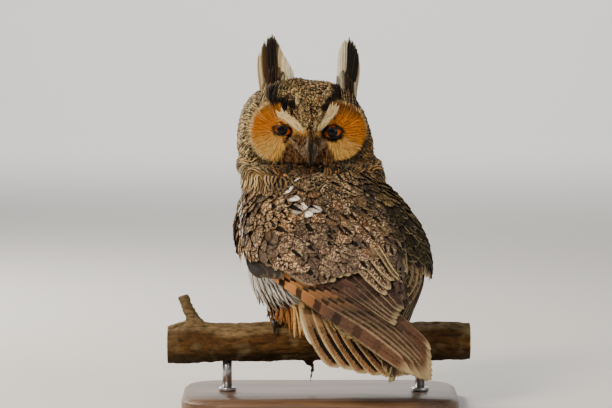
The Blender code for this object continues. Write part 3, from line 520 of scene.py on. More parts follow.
    # cream brows
    for start, end in browLines:
        near, t = toSegment(x, z, start, end)
        paint(face * fade(near - 2.0 * t, 1.9, 3.0), "straw", "buff", (0.0, 0.0, 0.0, 0.0))
    # brown feathers under the bristles
    fan = face * fade(np.abs(x - 1) + 0.55 * (z + 8), 12.0, 17.0) * smooth(-z, 1, 6) * smooth(z, -36, -30)
    paint(fan, "tan", "brown", (0.25, 0.0, 0.0, 0.0))
    paint(fan * smooth(fleck, 0.0, 0.2), "darkBrown")
    # the ruff under the face
    ruff = onHead * face * smooth(-z, 23, 29)
    paint(ruff * smooth(fleck, -0.25, 0.05), "black", "cream")
    paint(ruff * smooth(-fleck, 0.1, 0.3) * 0.7, "tan")
    return {"ground": ground, "mark": mark, "pattern": pattern}


def flow(points):
    # the lie of the coat: away from the face, over the crown, and down the body
    bird, head = toBird(points), toHead(points)
    r, f, u = bird.T
    x, y, z = head.T
    back = smooth(-f, -25, 30)
    body = np.stack((0.08 * r / 60, -(0.12 + 0.55 * back), -np.ones_like(r)), 1)
    behind = smooth(-u, -40, -18)
    body += np.stack((0 * r, -0.9 * behind, 0.2 * behind), 1)
    body = unit(body) @ birdTurn.T
    sign = np.sign(x - 1.5)
    outX, outZ = x - 21 * sign, z + 1
    away = np.maximum(np.hypot(outX, outZ), 1e-3)
    radial = np.stack((outX / away, np.zeros_like(x), outZ / away), 1)
    middle = fade(np.abs(x - 2) - 0.3 * np.maximum(z, 0), 5, 11)[:, None]
    lift = smooth(z, -2, 4)[:, None]
    centre = np.stack((0.35 * sign, -0.1 * np.ones_like(x), -np.ones_like(x)), 1) * (1 - lift)
    centre += np.stack((0.25 * sign, -0.2 * np.ones_like(x), np.ones_like(x)), 1) * lift
    face = radial * (1 - middle) + centre * middle
    left, right = faceForms(x, z)
    out = smooth(np.minimum(left, right), 0.95, 1.2)[:, None]
    backward = np.stack((0.1 * x / 50, -np.ones_like(x), -0.25 - 0.6 * smooth(-z, 0, 35)), 1)
    face = face * (1 - out) + (0.45 * face + backward) * out
    rear = smooth(-y, -8, 22)[:, None]
    downNape = np.stack((0.1 * x / 50, -0.35 * np.ones_like(x), -np.ones_like(x)), 1)
    face = face * (1 - rear) + downNape * rear
    tuftNear = np.min([toSegment(x, z, *line)[0] for line in tuftLines], 0)
    rising = (fade(tuftNear, 6, 9) * smooth(y, 0, 5))[:, None]
    face = unit(face) * (1 - rising) + np.array((0, -0.15, 1.0)) * rising
    for start, end in browLines:
        near, t = toSegment(x, z, start, end)
        close = (fade(near, 2.5, 5) * smooth(y, 8, 14))[:, None]
        face = unit(face) * (1 - close) + np.array((end[0] - start[0], 2, end[1] - start[1])) / 24 * close
    headLie = unit(face) * (1, -1, 1) @ headTurn.T
    share = (smooth(z, -48, -30) * smooth(u, 112, 128))[:, None]
    return unit(body * (1 - share) + headLie * share)


# Skin under the coat

skinLook = {
    "voxel": 1.8, "steps": 4,
    "faceDepth": 1.1, "headDepth": 2.6, "bodyDepth": 4.4, "legDepth": 2.2,
}


def skinDepth(points):
    bird, head = toBird(points), toHead(points)
    depth = np.full(len(points), skinLook["bodyDepth"])
    onHead = smooth(head[:, 2], -48, -30) * smooth(bird[:, 2], 112, 128)
    depth = mix(depth, skinLook["headDepth"], onHead)
    depth = mix(depth, skinLook["faceDepth"], onHead * smooth(head[:, 1], 4, 20))
    return mix(depth, skinLook["legDepth"], smooth(-bird[:, 2], -18, -10))


fleshNodes = ("torso", "neck", "head", "leg_left", "leg_right")


def makeSkin():
    skin = copyNodes("skin", fleshNodes)
    applyModifier(skin, "DISPLACE", strength=0.0003, mid_level=0.0)
    applyModifier(skin, "REMESH", mode="VOXEL", voxel_size=skinLook["voxel"] * mm, use_smooth_shade=True)
    applyModifier(skin, "SMOOTH", factor=0.5, iterations=3)
    shape = bmesh.new()
    shape.from_mesh(skin.data)
    # only the outer skin is kept, not the pockets inside
    left, groups = set(shape.verts), []
    while left:
        group, edge = set(), [left.pop()]
        while edge:
            vert = edge.pop()
            group.add(vert)
            for link in vert.link_edges:
                other = link.other_vert(vert)
                if other in left:
                    left.remove(other)
                    edge.append(other)
        groups.append(group)
    groups.sort(key=len)
    loose = [v for group in groups[:-1] for v in group]
    bmesh.ops.delete(shape, geom=loose, context="VERTS")
    shape.to_mesh(skin.data)
    shape.free()
    points = readPoints(skin.data)
    for step in range(skinLook["steps"]):
        points -= readNormals(skin.data) * (skinDepth(points) / skinLook["steps"])[:, None]
        writePoints(skin.data, points)
    applyModifier(skin, "SMOOTH", factor=0.5, iterations=2)
    return skin


print("skin")
skin = makeSkin()
skinPoints = readPoints(skin.data)
skinFaces = [tuple(face.vertices) for face in skin.data.polygons]
skinTree = BVHTree.FromPolygons([Vector(p) for p in skinPoints], skinFaces)
skinCoat = markings(skinPoints)
for key in skinCoat:
    setColours(skin.data, key, skinCoat[key])


def downSkin():
    # Fluffy down between the feathers: matt, in tufts of about a millimetre, the colour of the
    # coat above it but a little darker
    material, tree, shader = startMaterial("down", {"Roughness": 0.95, "Specular IOR Level": 0.1})
    ground = add(tree, "Attribute", {}, attribute_name="ground")
    spot = add(tree, "TexCoord", {})
    fluff = add(tree, "TexNoise", {"Vector": spot.outputs["Object"], "Scale": scaleFor(1.11), "Detail": 3.0})
    shade = add(tree, "MapRange", {0: fluff, 3: 0.35, 4: 0.8})
    paint = add(tree, "VectorMath", {0: ground, 1: shade}, operation="MULTIPLY")
    finishMaterial(tree, shader, paint, fluff, 0.6, 0.0005)
    return material


place(skin, downSkin(), fleshNodes)


# Coat

def sampleSkin(total):
    halves = [f[:3] for f in skinFaces] + [(f[0], f[2], f[3]) for f in skinFaces if len(f) == 4]
    a, b, c = skinPoints[np.array(halves).T]
    cross = np.cross(b - a, c - a)
    area = np.linalg.norm(cross, axis=1) / 2
    pick = draw.choice(len(halves), total, p=area / area.sum())
    s, t = draw.random((2, total))
    flip = s + t > 1
    s[flip], t[flip] = 1 - s[flip], 1 - t[flip]
    spots = a[pick] + (b - a)[pick] * s[:, None] + (c - a)[pick] * t[:, None]
    return spots, unit(cross[pick])


def thin(spots, gap):
    # keeps spots at least a gap apart
    grid, kept = {}, []
    steps = list(itertools.product((-1, 0, 1), repeat=3))
    keys = np.floor(spots / gap).astype(int).tolist()
    for index, (spot, (a, b, c)) in enumerate(zip(spots.tolist(), keys)):
        near = (other for i, j, k in steps for other in grid.get((a + i, b + j, c + k), ()))
        if all(math.dist(spot, other) >= gap for other in near):
            grid.setdefault((a, b, c), []).append(spot)
            kept.append(index)
    return np.array(kept)


def march(points, normals, lengths, rows, sway):
    spine, ups = [points], [normals]
    step = (lengths / (rows - 1))[:, None]
    for _ in range(rows - 1):
        here, up = spine[-1], ups[-1]
        way = flow(here)
        way = unit(way - up * np.sum(way * up, 1, keepdims=True))
        way = unit(way + np.cross(up, way) * sway[:, None])
        ahead = here + way * step
        found = [skinTree.find_nearest(Vector(p)) for p in ahead]
        there = np.array([tuple(hit[0]) for hit in found])
        out = np.array([tuple(hit[1]) for hit in found])
        # a tip that would curl under an edge keeps going straight on
        slip = np.linalg.norm(there - ahead, axis=1, keepdims=True)
        hold = np.clip((slip - 0.45 * step) / (0.6 * step), 0, 1)
        spine.append(there * (1 - hold) + ahead * hold)
        ups.append(unit(0.55 * up + 0.45 * out))
    return np.stack(spine, 1), np.stack(ups, 1)


def growCoat(name, spots, normals, look, slotName):
    rows = look["rows"]
    count = len(spots)
    vary = draw.uniform(0.82, 1.18, count)
    lengths = look["length"] * vary
    sway = draw.normal(0, look["sway"], count)
    spines, ups = march(spots, unit(normals), lengths, rows, sway)
    share = np.linspace(0, 1, rows)
    if look.get("free"):
        # soft feathers that hang free of the skin
        way = unit(spines[:, 1] - spots)[:, None]
        straight = spots[:, None] + way * (share[None] * lengths[:, None])[..., None]
        spines = mix(spines, straight, (look["free"] * share)[None, :, None])
    rise = mix(-look["sink"], look["lift"], share**0.7)
    lifts = rise[None, :] * draw.uniform(0.85, 1.15, count)[:, None]
    lifts = lifts * (1 + look.get("puff", 0) * smooth(-toBird(spots)[:, 2:], -60, -36))
    spines = spines + ups * lifts[..., None]
    shape = np.interp(share, *zip(*look["shape"]))
    if look["fine"]:
        dress = markings(spines.reshape(-1, 3))
        dress = {key: value.reshape(count, rows, -1) for key, value in dress.items()}
    else:
        dress = markings(spines[:, rows // 2])
    bird = toBird(spots)
    angle = np.arctan2(bird[:, 1], bird[:, 0]) / (2 * math.pi) + 0.5
    unwrap = {"at": np.stack((angle, (bird[:, 2] + 20) / 250), 1), "patch": rootPatch}
    widths = look["half"] * draw.uniform(0.85, 1.15, (count, 1)) * shape
    makeVanes(name, slotName, spines, ups, widths, dress, unwrap, *(look[key] for key in vaneKeys))
    print(name, count, "feathers")


coatTries = 150000
rootPatch = 0.003  # a short feather's patch on the unwrap
vaneKeys = ("columns", "cup", "thick", "ragged")
eyeSpots = fromHead(((-21, 27, -1), (21, 27, -1)))
eyeRoom = 11.0  # no feather starts nearer than this to an eye's centre
leafShape = ((0, 0.55), (0.4, 1.0), (0.75, 0.92), (0.93, 0.6), (1, 0.22))
hairShape = ((0, 0.8), (0.5, 1.0), (0.8, 0.7), (1, 0.2))
coatBase = {
    "columns": 3, "cup": 0.15, "thick": 0.25, "ragged": 0.1, "sway": 0.12, "shape": leafShape, "fine": False,
}
coats = {
    "face_coat": {
        **coatBase, "gap": 1.25, "length": 7.5, "half": 0.62, "lift": 1.3, "sink": 0.3, "rows": 5,
        "cup": 0.2, "thick": 0.2, "ragged": 0.0, "shape": hairShape, "fine": True,
    },
    "head_coat": {
        **coatBase, "gap": 2.3, "length": 8.5, "half": 1.9, "lift": 2.4, "sink": 0.4, "sway": 0.14,
        "rows": 6, "fine": True,
    },
    "body_coat": {
        **coatBase, "gap": 4.3, "length": 17.0, "half": 4.0, "lift": 4.2, "sink": 0.8, "rows": 7,
        "columns": 5, "cup": 0.14, "thick": 0.3,
    },
    "flank_coat": {
        **coatBase, "gap": 4.2, "length": 24.0, "half": 3.4, "lift": 5.0, "sink": 0.8, "sway": 0.15,
        "rows": 7, "columns": 5, "cup": 0.14, "thick": 0.3, "ragged": 0.12, "free": 0.35, "puff": 1.1,
    },
    "leg_coat": {
        **coatBase, "gap": 2.5, "length": 18.0, "half": 1.6, "lift": 6.0, "sink": 0.4, "sway": 0.25,
        "rows": 6, "free": 0.8,
    },
    "brow_coat": {
        **coatBase, "gap": 1.0, "length": 7.5, "half": 0.55, "lift": 2.4, "sink": 0.4, "sway": 0.1,
        "rows": 5, "cup": 0.2, "thick": 0.2, "ragged": 0.0, "shape": hairShape, "free": 0.3,
    },
    "neck_coat": {
        **coatBase, "gap": 3.0, "length": 14.0, "half": 2.7, "lift": 3.6, "sink": 0.6, "rows": 6,
        "columns": 5, "cup": 0.14,
    },
    "tuft_foot_coat": {
        **coatBase, "gap": 1.9, "length": 15.0, "half": 1.5, "lift": 2.6, "sink": 0.5, "rows": 7,
        "cup": 0.2, "free": 0.75,
    },
}


def growAll():
    spots, normals = sampleSkin(coatTries)
    bird, head = toBird(spots), toHead(spots)
    fromEyes = np.min([np.linalg.norm(spots - eye, axis=1) for eye in eyeSpots], 0)
    clear = fromEyes > eyeRoom
    blur = draw.uniform(-2, 2, len(spots))
    r, f, u = bird.T
    x, y, z = head.T
    onHead = (z + blur > -40) & (u + blur > 120)
    middle = (np.abs(x - 3) < 10) & (z < 22) & (z > -34)
    onFace = onHead & (y > 10) & ((np.minimum(*faceForms(x, z)) < 1.02) | middle)
    onLeg = (u + blur < 22) & (f > -30)
    brow = [toSegment(x, z, *line) for line in browLines]
    onBrow = onFace & (np.min([near - 2.0 * t for near, t in brow], 0) < 2.3)
    onFlank = (np.abs(r) > 30) & (np.abs(f + 8) < 34) & (u < 58) & (u > 18)
    onNeck = (z + blur < -25) & (u + blur > 108)
    tuftFoot = [toSegment(x, z, *line)[0] for line in tuftLines]
    onTuft = onHead & (y > 4) & (np.min(tuftFoot, 0) < 6.5)
    zones = {
        "face_coat": (onFace & ~onBrow & ~onTuft, "face_feathers"),
        "brow_coat": (onBrow, "face_feathers"),
        "tuft_foot_coat": (onTuft, "tuft_feathers"),
        "head_coat": (onHead & ~onFace & ~onTuft & ~onNeck, "ruff_feathers"),
        "neck_coat": (onNeck & ~onFace, "ruff_feathers"),
        "body_coat": (~onHead & ~onLeg & ~onNeck & ~onFlank, "back_feathers"),
        "flank_coat": (onFlank & ~onHead & ~onLeg, "back_feathers"),
        "leg_coat": (onLeg & ~onHead, "leg_feathers"),
    }
    for name, (zone, slotName) in zones.items():
        chosen = np.flatnonzero(zone & clear)
        kept = chosen[thin(spots[chosen], coats[name]["gap"])]
        growCoat(name, spots[kept], normals[kept], coats[name], slotName)


print("coat")
growAll()


# Wings

leftWing = (
    ((-60, 42, 76), (-66, 24, 106), (-48, 2, 126)),
    ((-69, 16, 59), (-70, -14, 92), (-30, -40, 119)),
    ((-73, -10, 47), (-62, -50, 76), (-6, -62, 106)),
    ((-69, -38, 38), (-44, -80, 58), (12, -77, 82)),
    ((-60, -64, 27), (-33, -100, 42), (18, -98, 56)),
    ((-47, -90, 14), (-21, -117, 26), (18, -118, 32)),
    ((-30, -116, -1), (-9, -134, 10), (17, -136, 13)),
    ((-9, -142, -19), (5, -150, -10), (23, -151, -5)),
    ((12, -164, -36), (18, -165, -32), (23, -164, -26)),
)
rightWing = (
    ((60, 42, 76), (66, 24, 106), (48, 2, 126)),
    ((70, 16, 59), (71, -16, 95), (32, -38, 119)),
    ((76, -10, 47), (72, -46, 80), (22, -60, 104)),
    ((74, -38, 34), (66, -72, 60), (28, -76, 80)),
    ((58, -64, 18), (54, -92, 39), (26, -92, 50)),
    ((44, -88, 9), (34, -107, 16), (14, -107, 23)),
    ((26, -112, -6), (14, -123, -6), (-2, -120, -4)),
    ((7, -134, -26), (0, -137, -25), (-8, -134, -24)),
    ((-11, -150, -39), (-8, -152, -36), (-4, -151, -32)),
)


def through(rows, places):
    # values on a smooth curve through rows, the first value of each row being its place
    i = np.clip(np.searchsorted(rows[1:, 0], places, side="right"), 0, len(rows) - 2)
    before, after = rows[np.maximum(i - 1, 0)], rows[np.minimum(i + 2, len(rows) - 1)]
    low, high = rows[i], rows[i + 1]
    span = high[:, :1] - low[:, :1]
    t = (places[:, None] - low[:, :1]) / span
    start = (high - before) / (high[:, :1] - before[:, :1]) * span
    end = (after - low) / (after[:, :1] - low[:, :1]) * span
    values = (2 * t**3 - 3 * t**2 + 1) * low + (t**3 - 2 * t**2 + t) * start
    values += (3 * t**2 - 2 * t**3) * high + (t**3 - t**2) * end
    return values[:, 1:]


def wingSpot(stations, along, across):
    last = len(stations) - 1
    rows = np.array([(i / last, *low, *mid, *high) for i, (low, mid, high) in enumerate(stations)], float)
    values = through(rows, np.clip(along.ravel(), 0, 1))
    low, mid, high = values[:, :3], values[:, 3:6], values[:, 6:]
    t = across.ravel()[:, None]
    bird = (1 - t) ** 2 * low + 2 * t * (1 - t) * (2 * mid - 0.5 * (low + high)) + t * t * high
    return fromBird(bird).reshape(*along.shape, 3)


def wingOut(stations, along, across):
    step = 0.01
    a = wingSpot(stations, np.minimum(along + step, 1), across)
    a = a - wingSpot(stations, np.maximum(along - step, 0), across)
    b = wingSpot(stations, along, across + step) - wingSpot(stations, along, across - step)
    turn = 1 if stations[0][0][0] < 0 else -1
    return unit(np.cross(a, b) * turn), unit(b)


primaryTips = ((0.95, 0.12), (0.99, 0.30), (1.0, 0.56), (0.985, 0.78), (0.955, 0.94), (0.90, 1.02))
longShape = ((0, 0.4), (0.35, 0.8), (0.72, 1.0), (0.88, 0.86), (0.96, 0.6), (1, 0.2))
shortShape = ((0, 0.55), (0.45, 1.0), (0.75, 0.95), (0.92, 0.66), (1, 0.24))
# Each tier: how many, first root and tip, last root and tip, height, widening, shape, then the colours
# and the pattern at the root, the middle and the tip (inner: colours of the feathers nearer the body)
tiers = {
    "primaries": {
        "count": 9, "height": (-5.2, -2.0), "widen": 1.7, "sink": 3.0, "roll": -0.16, "shape": longShape,
        "ground": ("D0884A", "46322A", "60402A"), "inner": ("52362A", "3C2B26", "60402A"), "mark": "74563F",
        "look": ((0.0, 0.1, 0.3, 1.0), (0.0, 0.3, 0.2, 0.75), (0.12, 0.4, 0.7, 0.1)),
    },
    "secondaries": {
        "count": 6, "first": ((0.40, 0.44), (0.76, 0.66)), "last": ((0.38, 0.84), (0.68, 0.93)),
        "height": (-1.6, -1.6), "widen": 1.9, "sink": 5.0, "roll": 0.14, "shape": shortShape,
        "ground": ("5E3C2C", "42302A", "48342A"), "mark": "7C5F4B",
        "look": ((0.0, 0.2, 0.1, 0.8), (0.1, 0.45, 0.15, 0.5), (0.1, 0.45, 0.6, 0.1)),
    },
    "primaryCoverts": {
        "count": 5, "first": ((0.18, 0.02), (0.33, 0.04)), "last": ((0.20, 0.15), (0.37, 0.18)),
        "height": (-0.6, -0.6), "widen": 2.0, "sink": 4.0, "roll": 0.14, "shape": shortShape,
        "ground": ("1E1917", "2A2422", "2E2724"), "mark": "4A403A",
        "look": ((0.0, 0.3, 0.1, 0.0), (0.0, 0.4, 0.1, 0.0), (0.0, 0.4, 0.2, 0.0)),
    },
    "greaterCoverts": {
        "count": 8, "first": ((0.27, 0.30), (0.47, 0.36)), "last": ((0.28, 0.84), (0.50, 0.84)),
        "height": (-0.9, -0.9), "widen": 1.9, "sink": 5.0, "roll": 0.14, "shape": shortShape,
        "ground": ("3A2A22", "4E3A30", "584438"), "mark": "B79C80",
        "look": ((0.2, 0.8, 0.3, 0.0), (0.2, 0.8, 0.4, 0.0), (0.15, 0.8, 0.8, 0.0)),
    },
    "tertials": {
        "count": 3, "first": ((0.34, 0.74), (0.62, 0.80)), "last": ((0.32, 0.90), (0.57, 0.93)),
        "height": (0.5, 0.5), "widen": 1.7, "sink": 5.0, "roll": 0.14, "shape": shortShape,
        "ground": ("3E2C20", "4A3628", "5A4230"), "mark": "C6A880",
        "look": ((0.2, 0.95, 0.4, 0.0), (0.2, 0.95, 0.4, 0.0), (0.2, 0.95, 0.7, 0.0)),
    },
    "longScapulars": {
        "count": 4, "first": ((0.33, 0.94), (0.57, 0.98)), "last": ((0.30, 1.02), (0.54, 1.06)),
        "height": (1.2, 1.2), "widen": 2.6, "sink": 4.0, "roll": 0.3, "shape": longShape,
        "ground": ("5A4A30", "7E6E48", "8E7C54"), "mark": "3A2C1A",
        "look": ((0.35, 0.5, 0.6, 0.3), (0.35, 0.5, 0.9, 0.3), (0.3, 0.5, 1.0, 0.2)),
    },
}
vaneRows = 18
longVane = (7, 0.1, 0.45, 0.05)  # columns, cup, thickness and raggedness


def tierPaths(name, tier):
    share = np.linspace(0, 1, tier["count"])[:, None]
    if name == "primaries":
        tips = np.array(primaryTips)
        at = np.linspace(0, 1, len(tips))
        root = np.concatenate((0.30 + 0.08 * share, 0.05 + 0.38 * share), 1)
        tip = np.stack([np.interp(share[:, 0], at, tips[:, k]) for k in (0, 1)], 1)
    else:
        first, last = np.array(tier["first"]), np.array(tier["last"])
        root, tip = mix(first[0], last[0], share), mix(first[1], last[1], share)
        root = root + draw.uniform(-0.006, 0.006, root.shape)
        tip = tip + draw.uniform(-0.008, 0.008, tip.shape)
    t = np.linspace(0, 1, vaneRows)
    path = mix(root[:, None], tip[:, None], t[None, :, None])
    return path[..., 0], path[..., 1], share


def threeStops(values, t):
    values = np.array([linear(v) if isinstance(v, str) else v for v in values])
    return np.stack([np.interp(t, (0.12, 0.5, 0.95), values[:, k]) for k in range(values.shape[1])], 1)


def makeWing(name, stations, tint):
    spines, ups, halves = [], [], []
    dress = {"ground": [], "mark": [], "pattern": []}
    t = np.linspace(0, 1, vaneRows)
    for tierName, tier in tiers.items():
        along, across, share = tierPaths(tierName, tier)
        spot = wingSpot(stations, along, across)
        out, upper = wingOut(stations, along, across)
        height = mix(*tier["height"], share)
        spot = spot + out * (height - tier["sink"] * (1 - t[None]) ** 1.4)[..., None]
        gap = np.linalg.norm(np.diff(spot, axis=0), axis=2)
        gap = np.concatenate((gap[:1], (gap[1:] + gap[:-1]) / 2, gap[-1:]))
        half = np.minimum(gap, np.median(gap) * 1.5).mean(1, keepdims=True) * tier["widen"] / 2
        spines.append(spot)
        ups.append(unit(out + tier["roll"] * upper))
        halves.append(half * np.interp(t, *zip(*tier["shape"])))
        outer, inner = threeStops(tier["ground"], t), threeStops(tier.get("inner", tier["ground"]), t)
        ground = mix(outer, inner, smooth(share, 0.2, 0.6)[..., None])
        dress["ground"].append(ground * draw.uniform(0.85, 1.15, (tier["count"], 1, 1)) * tint)
        dress["mark"].append(np.tile(linear(tier["mark"]) * tint, (tier["count"], vaneRows, 1)))
        dress["pattern"].append(np.tile(threeStops(tier["look"], t), (tier["count"], 1, 1)))
    spines, ups, halves = (np.concatenate(part) for part in (spines, ups, halves))
    dress = {key: np.concatenate(value) for key, value in dress.items()}
    makeVanes(
        name, "wing_feathers", spines, ups, halves, dress, sheetSpots(len(spines)), *longVane,
        replaced=(name.replace("_vanes", ""),),
    )


def sheetSpots(count):
    # each long feather has its own cell of the unwrap
    side = math.ceil(math.sqrt(count))
    cells = np.arange(count)
    at = np.stack((cells % side, cells // side), 1)
    return {"at": (at + 0.5) / side, "patch": 0.9 / side}


# The back between the wings, as a sheet like theirs
saddle = (
    ((-50, 4, 125), (0, -37, 130), (48, 2, 126)),
    ((-34, -38, 118), (0, -47, 120), (34, -38, 118)),
    ((-10, -60, 105), (6, -64, 106), (25, -60, 103)),
    ((8, -77, 82), (20, -80, 83), (32, -76, 79)),
    ((12, -97, 54), (22, -101, 57), (32, -92, 48)),
    ((8, -112, 24), (19, -116, 26), (28, -104, 22)),
)
# the tints are painted light on the left coverts, which they lighten, and painted shade on the right ones
covertCoats = {
    "covert_coat_left": {
        "on": leftWing, "along": (0.0, 0.40), "across": (0.0, 1.02), "gap": 5.4, "length": (14.0, 21.0),
        "half": (4.8, 6.4), "lift": 0.9, "sink": 4.0, "turn": -0.1, "tint": (1.25, 1.2, 1.2),
        "low": (0.14, 0.3), "slot": "wing_feathers",
    },
    "covert_coat_right": {
        "on": rightWing, "along": (0.0, 0.46), "across": (0.0, 1.02), "gap": 5.4, "length": (14.0, 21.0),
        "half": (4.8, 6.4), "lift": 0.9, "sink": 4.0, "turn": -0.1, "tint": (0.6, 0.62, 0.42),
        "low": (0.3, 0.1), "slot": "wing_feathers",
    },
    "mantle_coat": {
        "on": saddle, "along": (0.0, 1.0), "across": (0.0, 1.0), "gap": 5.0, "length": (14.0, 20.0),
        "half": (4.6, 5.8), "lift": 1.4, "sink": 4.5, "turn": 0.0, "tint": (1, 1, 1),
        "low": (1.0, 0.0), "slot": "back_feathers",
    },
}
covertTries, covertRows = 9000, 7
# white patches, each on the feather nearest to a place in the bird's frame
whiteSpots = (
    (-37, -30, 121), (-44, -34, 113), (-41, -39, 108), (-42, -46, 101), (-34, -54, 97), (-64, -36, 56),
)


def mantleDress(spines):
    # dark feathers with pale combs, black blotches, and a few white patches
    count, rows = spines.shape[:2]
    tip = spines[:, rows - 2]
    bird = toBird(tip)
    patch = noiseAt(tip, 0.06)[:, None, None]
    vary = draw.random((count, 1, 1))
    ground = mix(hue["mantle"], hue["brown"], np.clip(0.3 + 2.0 * patch + 0.6 * (vary - 0.5), 0, 1))
    ground = mix(ground, linear("66524A"), smooth(-bird[:, 2], -95, -60)[:, None, None] * 0.6)
    tawny = noiseAt(tip, 0.05, (3, 8, 1))[:, None, None]
    ground = mix(ground, hue["tan"], smooth(tawny, 0.05, 0.35) * 0.5)
    ground = np.tile(ground, (1, rows, 1))
    bright = np.clip(0.72 + 1.6 * patch + 0.5 * (draw.random((count, 1, 1)) - 0.5), 0.25, 1.15)
    mark = np.tile(hue["waver"] * bright, (1, rows, 1))
    streak = draw.random(count)
    # deep shade between the wings
    r, f, u = bird.T
    deep = smooth(r, 20, 32) * smooth(-f, 48, 66) * fade(u, 94, 104)
    deep = (1 - 0.75 * deep)[:, None, None]
    ground, mark = ground * deep, mark * deep
    pattern = np.zeros((count, rows, 4))
    pattern[..., 0] = (0.1 + 0.36 * smooth(streak, 0.3, 1.0))[:, None]
    pattern[..., 1] = draw.uniform(0.6, 1.0, (count, 1))
    pattern[..., 2] = draw.uniform(0.0, 0.4, (count, 1))
    arc = toSegment(bird[:, 0], bird[:, 1], (-49, -14), (-10, -12))[0] + np.abs(bird[:, 2] - 125)
    ground = mix(ground, hue["buff"], fade(arc, 4, 12)[:, None, None])
    share = np.linspace(0, 1, rows)
    for spot in whiteSpots:
        near = np.linalg.norm(bird - spot, axis=1)
        least = min(near.min(), 7)
        white = (fade(near, least + 0.1, least + 0.7)[:, None] * smooth(share, 0.4, 0.6))[..., None]
        ground = mix(ground, hue["white"], white)
        pattern = mix(pattern, np.array((0.12, 0, 0, 0)), white)
    return {"ground": ground, "mark": mark, "pattern": pattern}


def growCoverts(name, look):
    stations = look["on"]
    along = draw.uniform(*look["along"], covertTries)
    across = draw.uniform(*look["across"], covertTries)
    inside = along < look["low"][0] + look["low"][1] * smooth(across, 0.0, 0.55)
    along, across = along[inside], across[inside]
    kept = thin(wingSpot(stations, along, across), look["gap"])
    along, across = along[kept], across[kept]
    count = len(kept)
    share = ((along - look["along"][0]) / (look["along"][1] - look["along"][0]))[:, None]
    step = 0.01
    behind = np.maximum(along - step, 0)
    speed = wingSpot(stations, along + step, across) - wingSpot(stations, behind, across)
    speed = np.linalg.norm(speed, axis=1) / (along + step - behind)
    rise = wingSpot(stations, along, across + step) - wingSpot(stations, along, across - step)
    rise = np.linalg.norm(rise, axis=1) / (2 * step)
    vary = draw.uniform(0.85, 1.15, (count, 1))
    length = mix(*look["length"], share) * vary
    lean = (look["turn"] + draw.normal(0, 0.12, count))[:, None]
    t = np.linspace(0, 1, covertRows)[None]
    alongPath = along[:, None] + length * np.cos(lean) * t / speed[:, None]
    acrossPath = across[:, None] + length * np.sin(lean) * t / rise[:, None]
    spots = wingSpot(stations, alongPath, acrossPath)
    out, upper = wingOut(stations, alongPath, acrossPath)
    lift = look["lift"] * draw.uniform(0.6, 1.5, (count, 1))
    spines = spots + out * mix(-look["sink"], lift, t**0.6)[..., None]
    half = mix(*look["half"], share) * draw.uniform(0.85, 1.15, (count, 1))
    dress = mantleDress(spines)
    for key in ("ground", "mark"):
        dress[key] = dress[key] * look["tint"]
    unwrap = {"at": np.stack((along * 0.9 + 0.02, across * 0.9 + 0.02), 1), "patch": rootPatch}
    ups = unit(out + 0.12 * draw.normal(0, 1, (count, 1, 1)) * upper)
    widths = half * np.interp(t, *zip(*leafShape))
    makeVanes(name, look["slot"], spines, ups, widths, dress, unwrap, 5, 0.14, 0.3, 0.12)
    print(name, count, "feathers")


print("wings")
makeWing("wing_left_vanes", leftWing, (1, 1, 1))
# the far wing's tint darkens it and turns it olive, as painted shade
makeWing("wing_right_vanes", rightWing, (0.55, 0.53, 0.42))
for name, look in covertCoats.items():
    growCoverts(name, look)


# Tail

tailLook = {
    "root": (-2, -50, 38), "tip": (-10, -115, -30), "half": 8.8, "step": 0.9, "sink": 4.0,
    "ground": ("AE845C", "845C38", "906644"), "mark": "CEA674",
    "look": ((0.0, 0.4, 0.7, 0.5), (0.34, 0.4, 1.0, 0.2), (0.28, 0.4, 1.0, 0.0)),
    "pale": ("C8A878", "EADBB8", "F2E8CE"), "paleHalf": 3.6, "paleLook": ((0.2, 0.1, 0.1, 0),) * 3,
}
# Each tail feather, lowest first: root, middle and tip across and along the tail
tailPaths = (
    ((-35.5, 22), (-34.5, 57.5), (-25, 86)), ((-27.8, 22), (-24.2, 58.3), (-14.2, 89)),
    ((-21.2, 22), (-14.5, 62.2), (-2.9, 93)), ((-14.1, 22), (-4.9, 66.1), (8.5, 95)),
    ((-7.1, 22), (5.3, 67.9), (19.5, 97)), ((0.5, 22), (14, 69.7), (29, 96)),
    ((8.6, 22), (22, 69.5), (37, 95)),
)
underTail = (
    ((-37.3, 12), (-41.5, 42), (-38.9, 62)), ((-34.4, 12), (-37.4, 46), (-33.2, 68)),
    ((-30.5, 12), (-31.5, 50), (-27.5, 74)),
)


def makeTail():
    look = tailLook
    root, tip = fromBird(look["root"]), fromBird(look["tip"])
    along = unit(tip - root)
    right = birdTurn @ np.array((1.0, 0, 0))
    right = unit(right - along * (right @ along))
    out = np.cross(right, along)
    if out[1] > 0:
        out = -out
    t = np.linspace(0, 1, vaneRows)[:, None]
    spines, grounds, halves, looks = [], [], [], []
    shape = np.interp(t[:, 0], (0, 0.4, 0.8, 0.92, 0.98, 1), (0.6, 0.85, 1.0, 0.84, 0.5, 0.2))
    paths = underTail + tailPaths
    for i, (start, mid, end) in enumerate(paths):
        start, mid, end = (np.array(p, float) for p in (start, mid, end))
        flat = (1 - t) ** 2 * start + 2 * t * (1 - t) * (2 * mid - 0.5 * (start + end)) + t * t * end
        under = i < len(underTail)
        lift = look["step"] * (i - len(paths) + 1) - look["sink"] * (1 - t) ** 1.5
        spines.append(root + along * flat[:, 1:] + right * flat[:, :1] + out * lift)
        grounds.append(threeStops(look["pale" if under else "ground"], t[:, 0]))
        halves.append(look["paleHalf" if under else "half"] * shape)
        looks.append(threeStops(look["paleLook" if under else "look"], t[:, 0]))
    count, spines = len(paths), np.array(spines)
    ups = np.tile(out, (count, vaneRows, 1))
    dress = {
        "ground": np.array(grounds) * draw.uniform(0.9, 1.1, (count, 1, 1)),
        "mark": np.tile(linear(look["mark"]), (count, vaneRows, 1)),
        "pattern": np.array(looks),
    }
    makeVanes(
        "tail_vanes", "tail_feathers", spines, ups, np.array(halves), dress, sheetSpots(count), *longVane,
        replaced=("tail",),
    )


